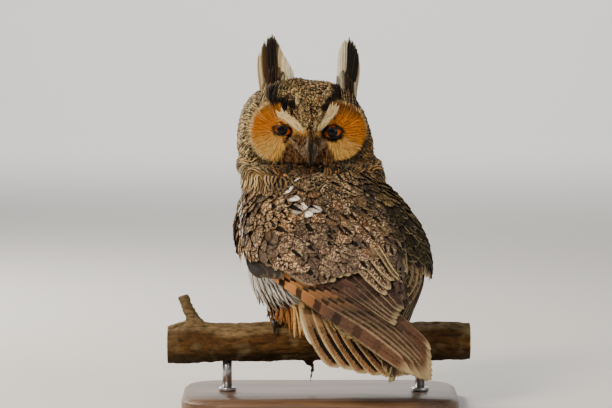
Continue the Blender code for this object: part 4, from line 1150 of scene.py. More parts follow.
# start: where the feathers begin, across, forward and up in the bird's frame
ventLook = {"count": 420, "rows": 8, "half": 2.0, "start": ((-42, 8), (-50, 4), (18, 30))}


def makeVent():
    # long soft feathers under the body, between the legs and the tail
    count, rows = ventLook["count"], ventLook["rows"]
    t = np.linspace(0, 1, rows)[None, :, None]
    start = np.stack([draw.uniform(*span, count) for span in ventLook["start"]], 1)
    end = start + np.stack(
        (draw.normal(0, 3, count), draw.uniform(-12, -4, count), -draw.uniform(18, 30, count)), 1
    )
    end[:, 2] = np.maximum(end[:, 2], np.where(end[:, 1] > -22, 1.5, -14))
    spines = fromBird(mix(start[:, None], end[:, None], t) - np.array((0, 3.0, 0)) * np.sin(math.pi * t))
    ups = np.tile(fromBird((0.2, -1, 0.15)) - fromBird((0, 0, 0)), (count, rows, 1))
    pale = smooth(-start[:, 1], 20, 40)[:, None]
    ground = mix(hue["rust"], hue["cream"], pale * 0.7)
    dress = {
        "ground": ground * draw.uniform(0.8, 1.25, (count, 1)), "mark": np.tile(hue["brown"], (count, 1)),
        "pattern": np.tile((0.0, 0.4, 0.3, 0.0), (count, 1)),
    }
    unwrap = {"at": np.stack(((start[:, 0] + 60) / 120, (start[:, 1] + 60) / 80), 1), "patch": rootPatch}
    widths = ventLook["half"] * draw.uniform(0.8, 1.2, (count, 1)) * np.interp(t[0, :, 0], *zip(*leafShape))
    makeVanes("vent_coat", "leg_feathers", spines, ups, widths, dress, unwrap, 3, 0.15, 0.25, 0.1)


print("tail")
makeTail()
makeVent()


# Ear tufts

tuftFeathers = {
    "tuft_right": (
        (-21, 196, -22.5, 210), (-24, 197, -27.5, 219), (-28, 197, -32.5, 228), (-31, 196, -36, 236),
        (-34, 194, -39.5, 241), (-38, 192, -43.8, 238), (-42, 190, -48.6, 232), (-46, 187, -52.5, 221),
    ),
    "tuft_left": (
        (13, 196, 15.5, 226), (15, 195, 19.3, 235), (17, 193, 24.4, 238.5), (19, 191, 28.6, 234),
        (22, 188, 31.9, 227), (25, 184, 33.4, 217),
    ),
}
# from the inner edge to the outer edge: white, black core, buff and pale outer rim
tuftDress = {
    "tuft_right": ("F2E8CC", "EDE0BE", "D8C090", "140E0A", "100B08", "140E0A", "4A301A", "E4CC9C"),
    "tuft_left": ("F2EACE", "EADCB8", "100B08", "0C0806", "100B08", "E0CCA0"),
}
tuftLook = {"perRow": 10, "rows": 12, "front": 0.3, "half": 1.7, "wrap": 25}


def makeTuft(name):
    look, rows = tuftLook, np.array(tuftFeathers[name], float)
    count = look["perRow"] * len(rows)
    at = np.clip(np.linspace(0, len(rows) - 1, count) + draw.uniform(-0.12, 0.12, count), 0, len(rows) - 1)
    front = draw.random(count) < look["front"]
    rows = np.stack([np.interp(at, np.arange(len(rows)), rows[:, k]) for k in range(4)], 1)
    codes = np.array([linear(code) for code in tuftDress[name]])
    shifted = at + draw.uniform(-0.4, 0.4, count)
    tone = np.stack([np.interp(shifted, np.arange(len(codes)), codes[:, k]) for k in range(3)], 1)
    outward = -1 if name == "tuft_right" else 1
    t = np.linspace(0, 1, look["rows"])
    spines, ups = [], []
    for i, (rootX, rootZ, tipX, tipZ) in enumerate(rows):
        depth = 14 + 0.9 * at[i] + draw.uniform(-1.0, 1.0)
        start = np.array((rootX, depth + 1.0, stance["perchTop"] + rootZ - 10))
        tip = np.array((tipX, depth - 1.5, stance["perchTop"] + tipZ))
        tip = start + (tip - start) * draw.uniform(0.97, 1.0)
        if front[i]:
            # shorter ones spring from the forehead and close the foot of the tuft
            tip = start + (tip - start) * draw.uniform(0.35, 0.6)
            start = start - (0, 9.0, 2.0)
            tip[1] -= 1.5
        wrap = math.radians(look["wrap"]) * (2 * at[i] / at[-1] - 1) * outward
        side = np.array((math.cos(wrap), math.sin(wrap) * 0.5, 0))
        bow = np.sin(math.pi * t)[:, None] * np.array((outward * 1.4, 0, 0))
        facing = unit(np.cross(side, tip - start))
        spines.append(mix(start, tip, t[:, None]) + bow)
        ups.append(np.tile(-facing * np.sign(facing[1]), (len(t), 1)))
    low = fade(t, 0.2, 0.45)[None, :, None] * (0.75 * draw.random((count, 1, 1)))
    ground = mix(tone[:, None], hue["buff"], low)
    dress = {
        "ground": mix(ground, hue["darkBrown"], front[:, None, None] * draw.random((count, 1, 1))),
        "mark": np.tile(hue["brown"], (count, 1)),
        "pattern": np.tile((0.1, 0.1, 0.1, 0.0), (count, 1)),
    }
    shape = np.interp(t, (0, 0.45, 0.8, 0.94, 1), (0.85, 1.0, 0.8, 0.45, 0.1))
    widths = look["half"] * draw.uniform(0.8, 1.2, (count, 1)) * shape
    makeVanes(
        name + "_vanes", "tuft_feathers", np.array(spines), np.array(ups), widths, dress, sheetSpots(count),
        replaced=(name,),
    )


print("ear tufts")
for name in tuftFeathers:
    makeTuft(name)


# Eyes

eyeLook = {
    "radius": 10.4, "spread": 21.0, "front": 27.0, "up": -1.0, "pupil": 4.4, "iris": 8.6,
    "cornea": 1.0, "wide": 7.5, "above": 2.5, "below": 3.8, "slant": 0.16,
}


def eyeMaterial(centre):
    # Glass eye: black pupil, orange iris with fine darker rays, under a clear wet cornea
    wet = {"Roughness": 0.25, "Specular IOR Level": 0.1, "Coat Weight": 0.16, "Coat Roughness": 0.03}
    material, tree, shader = startMaterial("glass eye", wet)
    spot = add(tree, "TexCoord", {})
    local = add(tree, "VectorMath", {0: spot.outputs["Object"], 1: tuple(centre * mm)}, operation="SUBTRACT")
    right, up = headTurn @ (1, 0, 0), headTurn @ (0, 0, 1)
    x = add(tree, "VectorMath", {0: local, 1: tuple(right)}, operation="DOT_PRODUCT").outputs["Value"]
    z = add(tree, "VectorMath", {0: local, 1: tuple(up)}, operation="DOT_PRODUCT").outputs["Value"]
    flat = add(tree, "CombineXYZ", {0: x, 1: z})
    away = add(tree, "VectorMath", {0: flat}, operation="LENGTH").outputs["Value"]
    away = add(tree, "Math", {0: away, 1: 1 / mm}, operation="MULTIPLY")
    turn = add(tree, "Math", {0: z, 1: x}, operation="ARCTAN2")
    rays = add(tree, "CombineXYZ", {0: add(tree, "Math", {0: turn, 1: 9.0}, operation="MULTIPLY"), 1: away})
    rays = add(tree, "TexNoise", {"Vector": rays, "Scale": 1.6, "Detail": 3.0})
    ramp = add(tree, "ValToRGB", {0: rays})
    for stop, at, code in zip(ramp.color_ramp.elements, (0.3, 0.7), ("7A2A04", "DC6A10")):
        stop.position, stop.color = at, rgba(code)
    rim = {0: away, 1: eyeLook["iris"] - 2.0, 2: eyeLook["iris"] - 0.2}
    ring = add(tree, "MapRange", rim, interpolation_type="SMOOTHSTEP")
    iris = add(tree, "MixRGB", {0: ring, 1: ramp, 2: rgba("2A1206")})
    # painted shade under the brow, and painted light below and outward
    lean = add(tree, "Math", {0: x, 1: -0.6}, operation="MULTIPLY")
    lean = add(tree, "Math", {0: z, 1: lean}, operation="ADD")
    lit = add(tree, "MapRange", {0: lean, 1: -4 * mm, 2: 3.5 * mm, 3: 1.15, 4: 0.3})
    iris = add(tree, "VectorMath", {0: iris, 1: lit}, operation="MULTIPLY")
    hole = add(
        tree, "MapRange", {0: away, 1: eyeLook["pupil"] - 0.15, 2: eyeLook["pupil"] + 0.15},
        interpolation_type="SMOOTHSTEP",
    )
    paint = add(tree, "MixRGB", {0: hole, 1: rgba("040303"), 2: iris})
    tree.links.new(paint.outputs[0], shader.inputs["Base Color"])
    return material


def makeEye(side, sign):
    look = eyeLook
    centre = fromHead((sign * look["spread"], look["front"], look["up"]))
    clearChoice()
    bpy.ops.mesh.primitive_uv_sphere_add(segments=64, ring_count=40, radius=look["radius"] * mm)
    eye = bpy.context.object
    eye.name = "eye_ball_" + side
    points = readPoints(eye.data)
    # the sphere's pole becomes the middle of the pupil
    local = np.stack((points[:, 0], points[:, 2], points[:, 1]), 1)
    away = np.hypot(local[:, 0], local[:, 2])
    bulge = look["cornea"] * np.clip(1 - (away / look["iris"]) ** 2, 0, 1) * (local[:, 1] > 0)
    local[:, 1] += bulge
    writePoints(eye.data, (local * (1, -1, 1)) @ headTurn.T + centre)
    shape = bmesh.new()
    shape.from_mesh(eye.data)
    bmesh.ops.recalc_face_normals(shape, faces=shape.faces)
    shape.to_mesh(eye.data)
    shape.free()
    soften(eye)
    place(eye, eyeMaterial(centre), ("eye_" + side,))


def sweep(name, path, radii, sides=16, squash=1.0, upward=(0, 0, 1)):
    # a round closed form along a path
    path, radii = np.asarray(path, float), np.asarray(radii, float)
    along = unit(np.gradient(path, axis=0))
    side = unit(np.cross(along, np.asarray(upward, float)))
    up = np.cross(side, along)
    turn = np.linspace(0, 2 * math.pi, sides, endpoint=False)
    ring = path[:, None] + side[:, None] * (radii[:, None] * np.cos(turn))[..., None]
    ring = ring + up[:, None] * (radii[:, None] * squash * np.sin(turn))[..., None]
    shape = bmesh.new()
    verts = [[shape.verts.new(p * mm) for p in row] for row in ring]
    for low, high in zip(verts, verts[1:]):
        for k in range(sides):
            shape.faces.new((low[k], low[(k + 1) % sides], high[(k + 1) % sides], high[k]))
    shape.faces.new(verts[0][::-1])
    shape.faces.new(verts[-1])
    bmesh.ops.recalc_face_normals(shape, faces=shape.faces)
    piece = closeShape(name, shape)
    soften(piece)
    return piece


def lidMaterial():
    # Bare black skin at the edge of the lids, slightly moist, turning to short down further out
    material, tree, shader = startMaterial("lid skin", {"Roughness": 0.5, "Specular IOR Level": 0.25})
    spot = add(tree, "TexCoord", {})
    ground = add(tree, "Attribute", {}, attribute_name="ground")
    wrinkles = {"Vector": spot.outputs["Object"], "Scale": scaleFor(0.625), "Detail": 2.0}
    grain = add(tree, "TexNoise", wrinkles)
    shade = add(tree, "MapRange", {0: grain, 3: 0.6, 4: 1.3})
    paint = add(tree, "VectorMath", {0: ground, 1: shade}, operation="MULTIPLY")
    finishMaterial(tree, shader, paint, grain, 0.4, 0.0003)
    return material


def makeLid(side, sign, material):
    # a shell over the ball with the almond opening left free, thickest at its edge
    look = eyeLook
    turn = np.linspace(0, 2 * math.pi, 56, endpoint=False)
    tall = np.where(np.sin(turn) > 0, look["above"], look["below"])
    shape = bmesh.new()
    rings = []
    for grow, lift in ((1.0, 0.25), (1.0, 0.75), (1.1, 1.0), (1.3, 0.85), (1.6, 0.6), (2.0, 0.4)):
        x = np.clip(look["wide"] * grow, 0, 10.2) * np.cos(turn)
        z = tall * (1 + (grow - 1) * 1.3) * np.sin(turn) + look["slant"] * sign * look["wide"] * np.cos(turn)
        out = look["radius"] + lift
        fit = np.minimum(1, 0.985 * out / np.hypot(x, z))
        x, z = x * fit, z * fit
        y = np.sqrt(np.maximum(out**2 - x * x - z * z, 0.01))
        ring = fromHead(np.stack((x + sign * look["spread"], y + look["front"], z + look["up"]), 1))
        rings.append([shape.verts.new(p * mm) for p in ring])
    for low, high in zip(rings, rings[1:]):
        for k in range(len(turn)):
            ahead = (k + 1) % len(turn)
            shape.faces.new((low[k], low[ahead], high[ahead], high[k]))
    bmesh.ops.recalc_face_normals(shape, faces=shape.faces)
    lid = closeShape("lid_" + side, shape)
    applyModifier(lid, "SOLIDIFY", thickness=0.22 * mm, offset=-1.0)
    points = readPoints(lid.data)
    x, y, z = (toHead(points) - (sign * look["spread"], look["front"], look["up"])).T
    z = z - look["slant"] * sign * x
    out = np.hypot(x / look["wide"], z / np.where(z > 0, look["above"], look["below"]))
    colours = markings(points)["ground"]
    setColours(lid.data, "ground", mix(colours, linear("0C0807"), fade(out, 1.12, 1.5)[:, None]))
    soften(lid)
    place(lid, material)


print("eyes")
lidSkin = lidMaterial()
for side, sign in (("right", -1), ("left", 1)):
    makeEye(side, sign)
    makeLid(side, sign, lidSkin)


# Bill and claws

def hornMaterial(name, dark, pale):
    # Polished horn: nearly black, paler where it is thin, with lengthwise growth lines a millimetre
    # apart, drawn coarser than real ones so that they show
    polished = {"Roughness": 0.42, "IOR": 1.54, "Specular IOR Level": 0.15}
    material, tree, shader = startMaterial(name, polished)
    spot = add(tree, "TexCoord", {})
    lines = add(tree, "Mapping", {0: spot.outputs["Object"], "Scale": scaleFor(1.11, 1.11, 6.25)})
    grain = add(tree, "TexNoise", {"Vector": lines, "Scale": 1.0, "Detail": 3.0})
    paint = add(tree, "MixRGB", {0: grain, 1: rgba(dark), 2: rgba(pale)})
    finishMaterial(tree, shader, paint, grain, 0.3, 0.0002)
    return material


billLook = {
    "x": 2.2, "out": 41.0, "bow": 12.0, "curve": 1.75, "top": -9.0, "long": 21.5, "droop": 1.15,
    "root": 5.2, "tip": 0.5, "taper": 1.25,
}
lowerBill = {"out": 40.0, "reach": 7.0, "top": -22.0, "long": 9.0, "root": 3.6, "tip": 0.4, "flat": 0.7}


def billLine(t):
    # how far forward and up the upper bill runs, and its radius
    look = billLook
    forward = look["out"] + look["bow"] * np.sin(look["curve"] * t)
    up = look["top"] - look["long"] * t ** look["droop"]
    return forward, up, mix(look["root"], look["tip"], t ** look["taper"])


def makeBill():
    t = np.linspace(0, 1, 22)
    forward, up, radii = billLine(t)
    path = np.stack((0 * t + billLook["x"], forward, up), 1)
    upper = sweep("bill_upper_horn", fromHead(path), radii, 20, 1.0, headTurn @ (1, 0, 0))
    place(upper, billHorn, ("bill_upper",))
    look, t = lowerBill, np.linspace(0, 1, 10)
    forward, up = look["out"] + look["reach"] * t, look["top"] - look["long"] * t
    path = np.stack((0 * t + billLook["x"], forward, up), 1)
    radii = look["root"] * (1 - t) ** 0.7 + look["tip"]
    lower = sweep("bill_lower_horn", fromHead(path), radii, 16, look["flat"], headTurn @ (1, 0, 0))
    place(lower, billHorn, ("bill_lower",))


def faceFront(x, z):
    # how far forward the face or the bill reaches at a place on the face
    reach = []
    for spot in fromHead(np.stack((x, 0 * x + 80, z), 1)):
        hit = skinTree.ray_cast(Vector(spot), Vector(headTurn @ (0, 1, 0)))[0]
        reach.append(toHead(np.array(hit))[1] if hit else 30.0)
    t = np.clip((billLook["top"] - z) / billLook["long"], 0, 1) ** (1 / billLook["droop"])
    forward, up, radius = billLine(t)
    across = np.clip(np.abs(x - billLook["x"]) / radius, 0, 1)
    bill = forward + radius * np.sqrt(1 - across**2)
    return np.where((across < 1) & (z < -5), np.maximum(bill, reach), reach)


bristleLook = {"count": 1500, "rows": 7, "middle": 2.6, "half": 0.4, "right": 18.5, "left": 14.0}


def growBristles():
    # stiff fans from the inner corners of the eyes, closing over the bill from both sides
    look = bristleLook
    count, rows, middle = look["count"], look["rows"], look["middle"]
    sign = np.where(draw.random(count) < 0.55, -1.0, 1.0)
    span = np.where(sign < 0, look["right"], look["left"])
    t = np.linspace(0, 1, rows)[None, :]
    side = draw.random(count) ** 1.2
    high, low = -2 - 6 * side + draw.uniform(-2, 2, count), -30 + 11 * side + draw.uniform(-2, 2, count)
    start = np.stack((middle + sign * (0.5 + span * side), high), 1)
    end = np.stack((middle + sign * (0.5 + 0.3 * span * side), low), 1)
    begin = draw.uniform(0, 0.5, (count, 1))
    share = begin + t * draw.uniform(0.42, 0.55, (count, 1))
    flat = mix(start[:, None], end[:, None], share[..., None])
    flat[..., 0] += sign[:, None] * 1.2 * np.sin(math.pi * share)
    reach = faceFront(flat[..., 0].ravel(), flat[..., 1].ravel()).reshape(count, rows)
    for step in range(1, rows):
        reach[:, step] = np.maximum(reach[:, step], reach[:, step - 1] - 1.6)
    depth = reach - 0.3 + 1.6 * t**0.7 * draw.uniform(0.6, 1.3, (count, 1))
    spines = fromHead(np.stack((flat[..., 0], depth, flat[..., 1]), -1))
    out = np.stack((sign * 0.5, np.ones(count), 0 * sign), 1)
    ups = np.tile((unit(out) * (1, -1, 1) @ headTurn.T)[:, None], (1, rows, 1))
    tone = draw.random((count, 1))
    ground = mix(hue["tan"], hue["grey"], smooth(tone, 0.45, 0.8))
    ground = mix(ground, hue["darkBrown"], fade(tone, 0.12, 0.3))
    ground = mix(ground, hue["grey"], 0.4 * smooth(flat[:, 3, 1:], -16, -6))
    ground = mix(ground, hue["black"], fade(np.abs(end[:, :1] - middle), 0.7, 1.8) * 0.8)
    dress = {
        "ground": ground, "mark": np.tile(hue["brown"], (count, 1)), "pattern": np.zeros((count, 4)),
    }
    unwrap = {"at": np.stack(((start[:, 0] + 20) / 46, (start[:, 1] + 20) / 30), 1), "patch": rootPatch}
    widths = look["half"] * draw.uniform(0.7, 1.3, (count, 1)) * np.interp(t[0], *zip(*hairShape))
    makeVanes("bristle_coat", "face_feathers", spines, ups, widths, dress, unwrap, 3, 0.2, 0.25, 0.0)


footPlaces = {"left": -28.0, "right": 25.0}
# Each toe: sideways spread at its end, how far round the perch it reaches, and its claw's turn
toes = {
    "inner": (9.0, 84.0, 132.0), "middle": (-5.0, 92.0, 146.0),
    "outer": (-10.0, -30.0, -64.0), "hind": (6.0, -26.0, -58.0),
}
clawLook = {"reach": 21.0, "arch": 2.6, "fall": 1.4, "root": 2.2, "point": 0.3, "start": 2.2}


def roundPerch(x, degrees, reach):
    turn = np.radians(degrees)
    return np.stack((x + 0 * turn, reach * np.sin(turn), stance["perchAxis"] + reach * np.cos(turn)), -1)


def makeClaws(material):
    look, t = clawLook, np.linspace(0, 1, 16)
    height = look["reach"] + look["arch"] * np.sin(math.pi * t) - look["fall"] * t
    for side, x in footPlaces.items():
        outward = -1 if side == "left" else 1
        for toe, (spread, end, tip) in toes.items():
            turn = end + (tip - end) * t + (look["start"] if end > 0 else -look["start"])
            path = roundPerch(x - outward * spread, turn, height)
            radii = look["root"] * (1 - t) ** 0.8 + look["point"]
            claw = sweep(f"claw_horn_{side}_{toe}", path, radii, 14, 1.15, (1, 0, 0))
            place(claw, material, (f"claw_{side}_{toe}",))


print("bill and claws")
billHorn = hornMaterial("bill horn", "0A0807", "1E1916")
makeBill()
growBristles()
makeClaws(hornMaterial("claw horn", "0A0807", "30281F"))


# Feet, feathered down to the claws

footLook = {"voxel": 0.9, "depth": 0.7, "down": "C89C68"}


def makeFeet():
    look = footLook
    for side in footPlaces:
        foot = copyNodes("foot_skin_" + side, ("foot_" + side,))
        applyModifier(foot, "REMESH", mode="VOXEL", voxel_size=look["voxel"] * mm, use_smooth_shade=True)
        applyModifier(foot, "SMOOTH", factor=0.5, iterations=3)
        points = readPoints(foot.data)
        points -= readNormals(foot.data) * look["depth"]
        writePoints(foot.data, points)
        tone = linear(look["down"]) * (0.9 + 0.2 * noiseAt(points, 0.5))[:, None]
        setColours(foot.data, "ground", np.clip(tone, 0, 1))
        place(foot, footDown, ("foot_" + side,))
        growToes(side, foot)


toeLook = {"gap": 1.7, "rows": 5, "length": 4.6, "half": 0.85, "ground": "D2A873", "mark": "8A5E34"}


def growToes(side, foot):
    look = toeLook
    points = readPoints(foot.data)
    faces = [tuple(face.vertices) for face in foot.data.polygons]
    centres = np.array([points[list(face)].mean(0) for face in faces])
    normals = np.array([tuple(face.normal) for face in foot.data.polygons])
    order = draw.permutation(len(centres))
    kept = order[thin(centres[order], look["gap"])]
    spots, out = centres[kept], normals[kept]
    # feathers lie along the toes, away from the ankle and round the perch
    x, y, z = spots.T
    outward = np.stack((0 * x, y, z - stance["perchAxis"]), 1)
    away = np.stack((0.2 * (x - footPlaces[side]), y, 0 * x), 1)
    around = np.cross(np.sign(y)[:, None] * (-1, 0, 0), outward)
    way = np.where((z > 76)[:, None], unit(away), unit(around))
    share = np.linspace(0, 1, look["rows"])
    way = unit(way - out * np.sum(way * out, 1, keepdims=True) + 0.12 * draw.normal(0, 1, way.shape))
    length = look["length"] * draw.uniform(0.8, 1.2, (len(spots), 1, 1))
    spines = spots[:, None] + way[:, None] * share[None, :, None] * length
    lift = -0.3 + 1.5 * share**0.7 - 0.9 * share**2
    spines = spines + out[:, None] * lift[None, :, None]
    ups = np.repeat(out[:, None], len(share), 1)
    tone = linear(look["ground"])[None] * draw.uniform(0.8, 1.15, (len(spots), 1))
    dress = {
        "ground": tone, "mark": np.tile(linear(look["mark"]), (len(spots), 1)),
        "pattern": np.tile((0.15, 0.1, 0.2, 0.0), (len(spots), 1)),
    }
    unwrap = {"at": np.stack((x / 60 % 1, np.arctan2(y, outward[:, 2]) / 6.3 + 0.5), 1), "patch": rootPatch}
    widths = look["half"] * draw.uniform(0.8, 1.2, (len(spots), 1)) * np.interp(share, *zip(*leafShape))
    makeVanes("toe_coat_" + side, "leg_feathers", spines, ups, widths, dress, unwrap, 3, 0.2, 0.2, 0.0)


print("feet")
footDown = downSkin()
makeFeet()


# Perch

barkLook = {
    "voxel": 1.0, "ridge": 1.5, "fine": 0.4, "ends": (-128.0, 126.0), "radius": 17.0,
    "top": "6E5A3C", "side": "4E3414", "under": "2E210E",
    "grain": (6.25, 2.38, 2.38), "lichen": 14.3,  # furrows along the branch, and pale patches
    "ring": 1.6, "pith": 51.0, "wobble": 4.0,  # the growth rings of the cut ends
}


def barkMaterial():
    # Weathered bark: grey brown and lichened above, golden on the sides and dark below, with pale
    # rings on the cut ends; the lighter top is painted light, the dark underside and furrows painted shade
    look, rough = barkLook, {"Roughness": 0.88, "Specular IOR Level": 0.2}
    material, tree, shader = startMaterial("weathered bark", rough)
    spot = add(tree, "TexCoord", {}).outputs["Object"]
    stretch = add(tree, "Mapping", {0: spot, "Scale": scaleFor(*look["grain"])})
    grain = add(tree, "TexNoise", {"Vector": stretch, "Scale": 1.0, "Detail": 6.0, "Roughness": 0.65})
    blotch = add(tree, "TexNoise", {"Vector": spot, "Scale": scaleFor(look["lichen"]), "Detail": 3.0})
    ground = add(tree, "Attribute", {}, attribute_name="ground")
    shade = add(tree, "MapRange", {0: grain, 1: 0.3, 2: 0.7, 3: 0.35, 4: 1.6})
    paint = add(tree, "VectorMath", {0: ground, 1: shade}, operation="MULTIPLY")
    patch = add(tree, "MapRange", {0: blotch, 1: 0.56, 2: 0.72, 4: 0.35})
    paint = add(tree, "MixRGB", {0: patch, 1: paint, 2: rgba("7C7050")})
    # growth rings and saw marks on the cut ends
    cut = add(tree, "Attribute", {}, attribute_name="cut")
    centred = {0: spot, "Location": (0, 0, -look["pith"] * mm), "Scale": (0.0, 1.0, 1.05)}
    ringAt = add(tree, "Mapping", centred)
    rings = add(tree, "VectorMath", {0: ringAt}, operation="LENGTH").outputs["Value"]
    wobble = add(tree, "Math", {0: blotch, 1: look["wobble"] * mm}, operation="MULTIPLY")
    rings = add(tree, "Math", {0: rings, 1: wobble}, operation="ADD")
    rings = add(tree, "Math", {0: rings, 1: 2 * math.pi * scaleFor(look["ring"])}, operation="MULTIPLY")
    rings = add(tree, "Math", {0: rings}, operation="SINE")
    rings = add(tree, "MapRange", {0: rings, 1: -1.0, 2: 1.0})
    wood = add(tree, "MixRGB", {0: rings, 1: rgba("C29A66"), 2: rgba("9A7240")})
    paint = add(tree, "MixRGB", {0: cut.outputs["Fac"], 1: paint, 2: wood})
    finishMaterial(tree, shader, paint, grain, 0.8, 0.0008)
    return material


def makePerch():
    look = barkLook
    perch = copyNodes("perch_bark", ("perch",))
    applyModifier(perch, "REMESH", mode="VOXEL", voxel_size=look["voxel"] * mm, use_smooth_shade=True)
    points, normals = readPoints(perch.data), readNormals(perch.data)
    ends = look["ends"]
    cut = fade(points[:, 0] - ends[0], 0.6, 1.6) + smooth(points[:, 0] - ends[1], -1.6, -0.6)
    cut = np.clip(cut, 0, 1) * (np.abs(normals[:, 0]) > 0.6)
    ridge = [noise.fractal(Vector(p) * 1.6, 0.9, 2.1, 4) for p in points * (0.035, 0.13, 0.13)]
    fine = noiseAt(points * (0.18, 0.7, 0.7))
    rough = np.clip(look["ridge"] * np.array(ridge) - 0.5 + look["fine"] * fine, -2.2, 0.4)
    points += normals * (rough * (1 - cut))[:, None]
    writePoints(perch.data, points)
    # painted light and shade: lighter on top, darkest underneath, by height about the axis
    height = (points[:, 2] - stance["perchAxis"] + 3.2 * smooth(-points[:, 0], 40, 135)) / look["radius"]
    tone = noiseAt(points * (0.03, 0.09, 0.09), 1, (0, 0, 5))
    top, mid, low = (linear(look[key]) for key in ("top", "side", "under"))
    colours = mix(mid, top, smooth(height + 0.5 * tone, 0.35, 0.8)[:, None])
    colours = mix(colours, low, smooth(-height + 0.4 * tone, 0.1, 0.75)[:, None])
    colours = colours * (1 + 0.5 * tone)[:, None]
    # painted shade in the deep furrows
    colours *= (1 - 0.45 * smooth(-rough, 0.7, 1.6))[:, None]
    setColours(perch.data, "ground", np.clip(colours, 0, 1))
    layer = perch.data.attributes.new("cut", "FLOAT", "POINT")
    layer.data.foreach_set("value", cut.astype(np.float32))
    place(perch, barkMaterial(), ("perch",))


print("perch")
makePerch()


# Display stand

standLook = {"rods": (-78.0, 84.0), "rod": 4.0, "baseTop": 11.0, "collar": 7.5, "collarTall": 3.2}


def woodMaterial():
    # Oiled walnut: satin, with straight darker grain lines 7 mm apart along the base, and pores
    # drawn coarser than real ones so that they show
    oiled = {"Roughness": 0.42, "IOR": 1.5, "Coat Weight": 0.15}
    material, tree, shader = startMaterial("oiled walnut", oiled)
    spot = add(tree, "TexCoord", {}).outputs["Object"]
    long = add(tree, "Mapping", {0: spot, "Scale": scaleFor(111.0, 6.67, 6.67)})
    figure = add(tree, "TexNoise", {"Vector": long, "Scale": 1.0, "Detail": 5.0, "Distortion": 0.6})
    fine = add(tree, "Mapping", {0: spot, "Scale": scaleFor(16.7, 0.667, 0.667)})
    pores = add(tree, "TexNoise", {"Vector": fine, "Scale": 1.0, "Detail": 2.0})
    ramp = add(tree, "ValToRGB", {0: figure})
    for stop, at, code in zip(ramp.color_ramp.elements, (0.32, 0.68), ("4A2F1D", "84603F")):
        stop.position, stop.color = at, rgba(code)
    dark = add(tree, "MapRange", {0: pores, 1: 0.35, 2: 0.5, 3: 0.7, 4: 1.0})
    paint = add(tree, "VectorMath", {0: ramp, 1: dark}, operation="MULTIPLY")
    finishMaterial(tree, shader, paint, pores, 0.25, 0.0002)
    return material


def steelMaterial():
    # Brushed steel: bright, with fine lines round the rods, 0.2 mm apart
    material, tree, shader = startMaterial("brushed steel", {"Metallic": 1.0, "Roughness": 0.32})
    spot = add(tree, "TexCoord", {}).outputs["Object"]
    lines = add(tree, "Mapping", {0: spot, "Scale": scaleFor(8.33, 8.33, 0.2)})
    brush = add(tree, "TexNoise", {"Vector": lines, "Scale": 1.0, "Detail": 2.0})
    paint = add(tree, "MixRGB", {0: brush, 1: rgba("A6A6A4"), 2: rgba("C8C8C6")})
    tree.links.new(paint.outputs[0], shader.inputs["Base Color"])
    rough = add(tree, "MapRange", {0: brush, 3: 0.26, 4: 0.4})
    tree.links.new(rough.outputs[0], shader.inputs["Roughness"])
    return material


def makeStand():
    look = standLook
    base = copyNodes("stand_board", ("stand_base",))
    soften(base, 30)
    place(base, woodMaterial(), ("stand_base",))
    steel = steelMaterial()
    for number, x in enumerate(look["rods"], 1):
        rod = copyNodes(f"stand_steel_rod_{number}", (f"stand_rod_{number}",))
        soften(rod, 40)
        place(rod, steel, (f"stand_rod_{number}",))
        clearChoice()
        bpy.ops.mesh.primitive_cylinder_add(
            vertices=48, radius=look["collar"] * mm, depth=look["collarTall"] * mm,
            location=(x * mm, 0, (look["baseTop"] + look["collarTall"] / 2 + 0.05) * mm),
        )
        collar = bpy.context.object
        collar.name = f"stand_collar_{number}"
        bpy.ops.object.transform_apply(location=True, rotation=True, scale=True)
        applyModifier(collar, "BEVEL", width=0.9 * mm, segments=3, limit_method="ANGLE")
        soften(collar, 30)
        place(collar, steel)


print("stand")
makeStand()


# Room, light and camera

room = {
    "floor": 24.0, "farEdge": 4.5, "sweepSteps": 10, "sweep": 0.16, "wall": 3.0, "sky": 0.38,
    "lamps": (  # name, place, size, power and tone
        ("key", (-1.1, -1.5, 1.5), 0.8, 44.0, "FFF1DC"),
        ("fill", (1.5, -1.3, 0.9), 1.3, 12.0, "F4F2FF"),
        ("rim", (-1.1, 1.0, 1.0), 0.7, 34.0, "FFF8EC"),
        ("backdrop", (0, 3.4, 2.8), 2.0, 110.0, "FFFFFF"),
    ),
    "aim": (0, 0, 0.18), "backdropAim": (0, 6.2, 0.8),
}


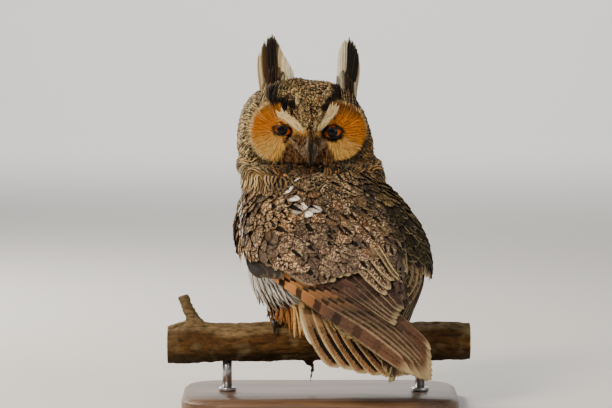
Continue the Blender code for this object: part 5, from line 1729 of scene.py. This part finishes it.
def makeRoom():
    half = room["floor"] / 2
    clearChoice()
    bpy.ops.mesh.primitive_plane_add(size=room["floor"], location=(0, room["farEdge"] - half, 0))
    floor = bpy.context.object
    floor.name = "floor"
    # the far edge sweeps up into a plain backdrop
    bpy.ops.object.mode_set(mode="EDIT")
    bpy.ops.mesh.select_all(action="DESELECT")
    shape = bmesh.from_edit_mesh(floor.data)
    for edge in shape.edges:
        edge.select = all(v.co.y > half - 0.1 for v in edge.verts)
    bmesh.update_edit_mesh(floor.data)
    turns = math.pi / 2 * (np.arange(room["sweepSteps"]) + 0.5) / room["sweepSteps"]
    steps = [(0, room["sweep"] * math.cos(turn), room["sweep"] * math.sin(turn)) for turn in turns]
    for step in (*steps, (0, 0, room["wall"])):
        bpy.ops.mesh.extrude_region_move(TRANSFORM_OT_translate={"value": step})
    bpy.ops.object.mode_set(mode="OBJECT")
    bpy.ops.object.transform_apply(location=True, rotation=True, scale=True)
    bpy.ops.object.shade_smooth()
    material, tree, shader = startMaterial("matt floor", {"Base Color": rgba("E6E4E0"), "Roughness": 0.7})
    floor.data.materials.append(material)
    world = bpy.data.worlds.new("studio")
    world.use_nodes = True
    sky = world.node_tree.nodes["Background"]
    sky.inputs[0].default_value, sky.inputs[1].default_value = rgba("E4E6E8"), room["sky"]
    bpy.context.scene.world = world
    for name, spot, size, power, tone in room["lamps"]:
        data = bpy.data.lights.new(name, "AREA")
        data.shape, data.size, data.energy, data.color = "DISK", size, power, tuple(linear(tone))
        lamp = bpy.data.objects.new(name, data)
        lamp.location = spot
        aim = Vector(room["backdropAim" if name == "backdrop" else "aim"]) - Vector(spot)
        lamp.rotation_mode = "QUATERNION"
        lamp.rotation_quaternion = aim.to_track_quat("-Z", "Y")
        bpy.context.scene.collection.objects.link(lamp)


cameraLook = {"lens": 200.0, "sensor": 36.0, "raise": 4.0, "pixel": 0.84, "wide": 612, "aim": (-14, 117)}


def makeCamera():
    look = cameraLook
    pixel = look["pixel"] * mm
    data = bpy.data.cameras.new("camera")
    data.lens, data.sensor_width = look["lens"], look["sensor"]
    camera = bpy.data.objects.new("camera", data)
    bpy.context.scene.collection.objects.link(camera)
    angle = math.radians(look["raise"])
    up = Vector((0, math.sin(angle), math.cos(angle)))
    back = Vector((0, -math.cos(angle), math.sin(angle)))
    target = Vector((look["aim"][0] * pixel, 0, stance["perchTop"] * mm)) + up * (look["aim"][1] * pixel)
    distance = look["wide"] * pixel * look["lens"] / look["sensor"]
    camera.location = target + back * distance
    camera.rotation_mode = "QUATERNION"
    camera.rotation_quaternion = (-back).to_track_quat("-Z", "Y")
    bpy.context.scene.camera = camera


makeRoom()
makeCamera()
print("done")
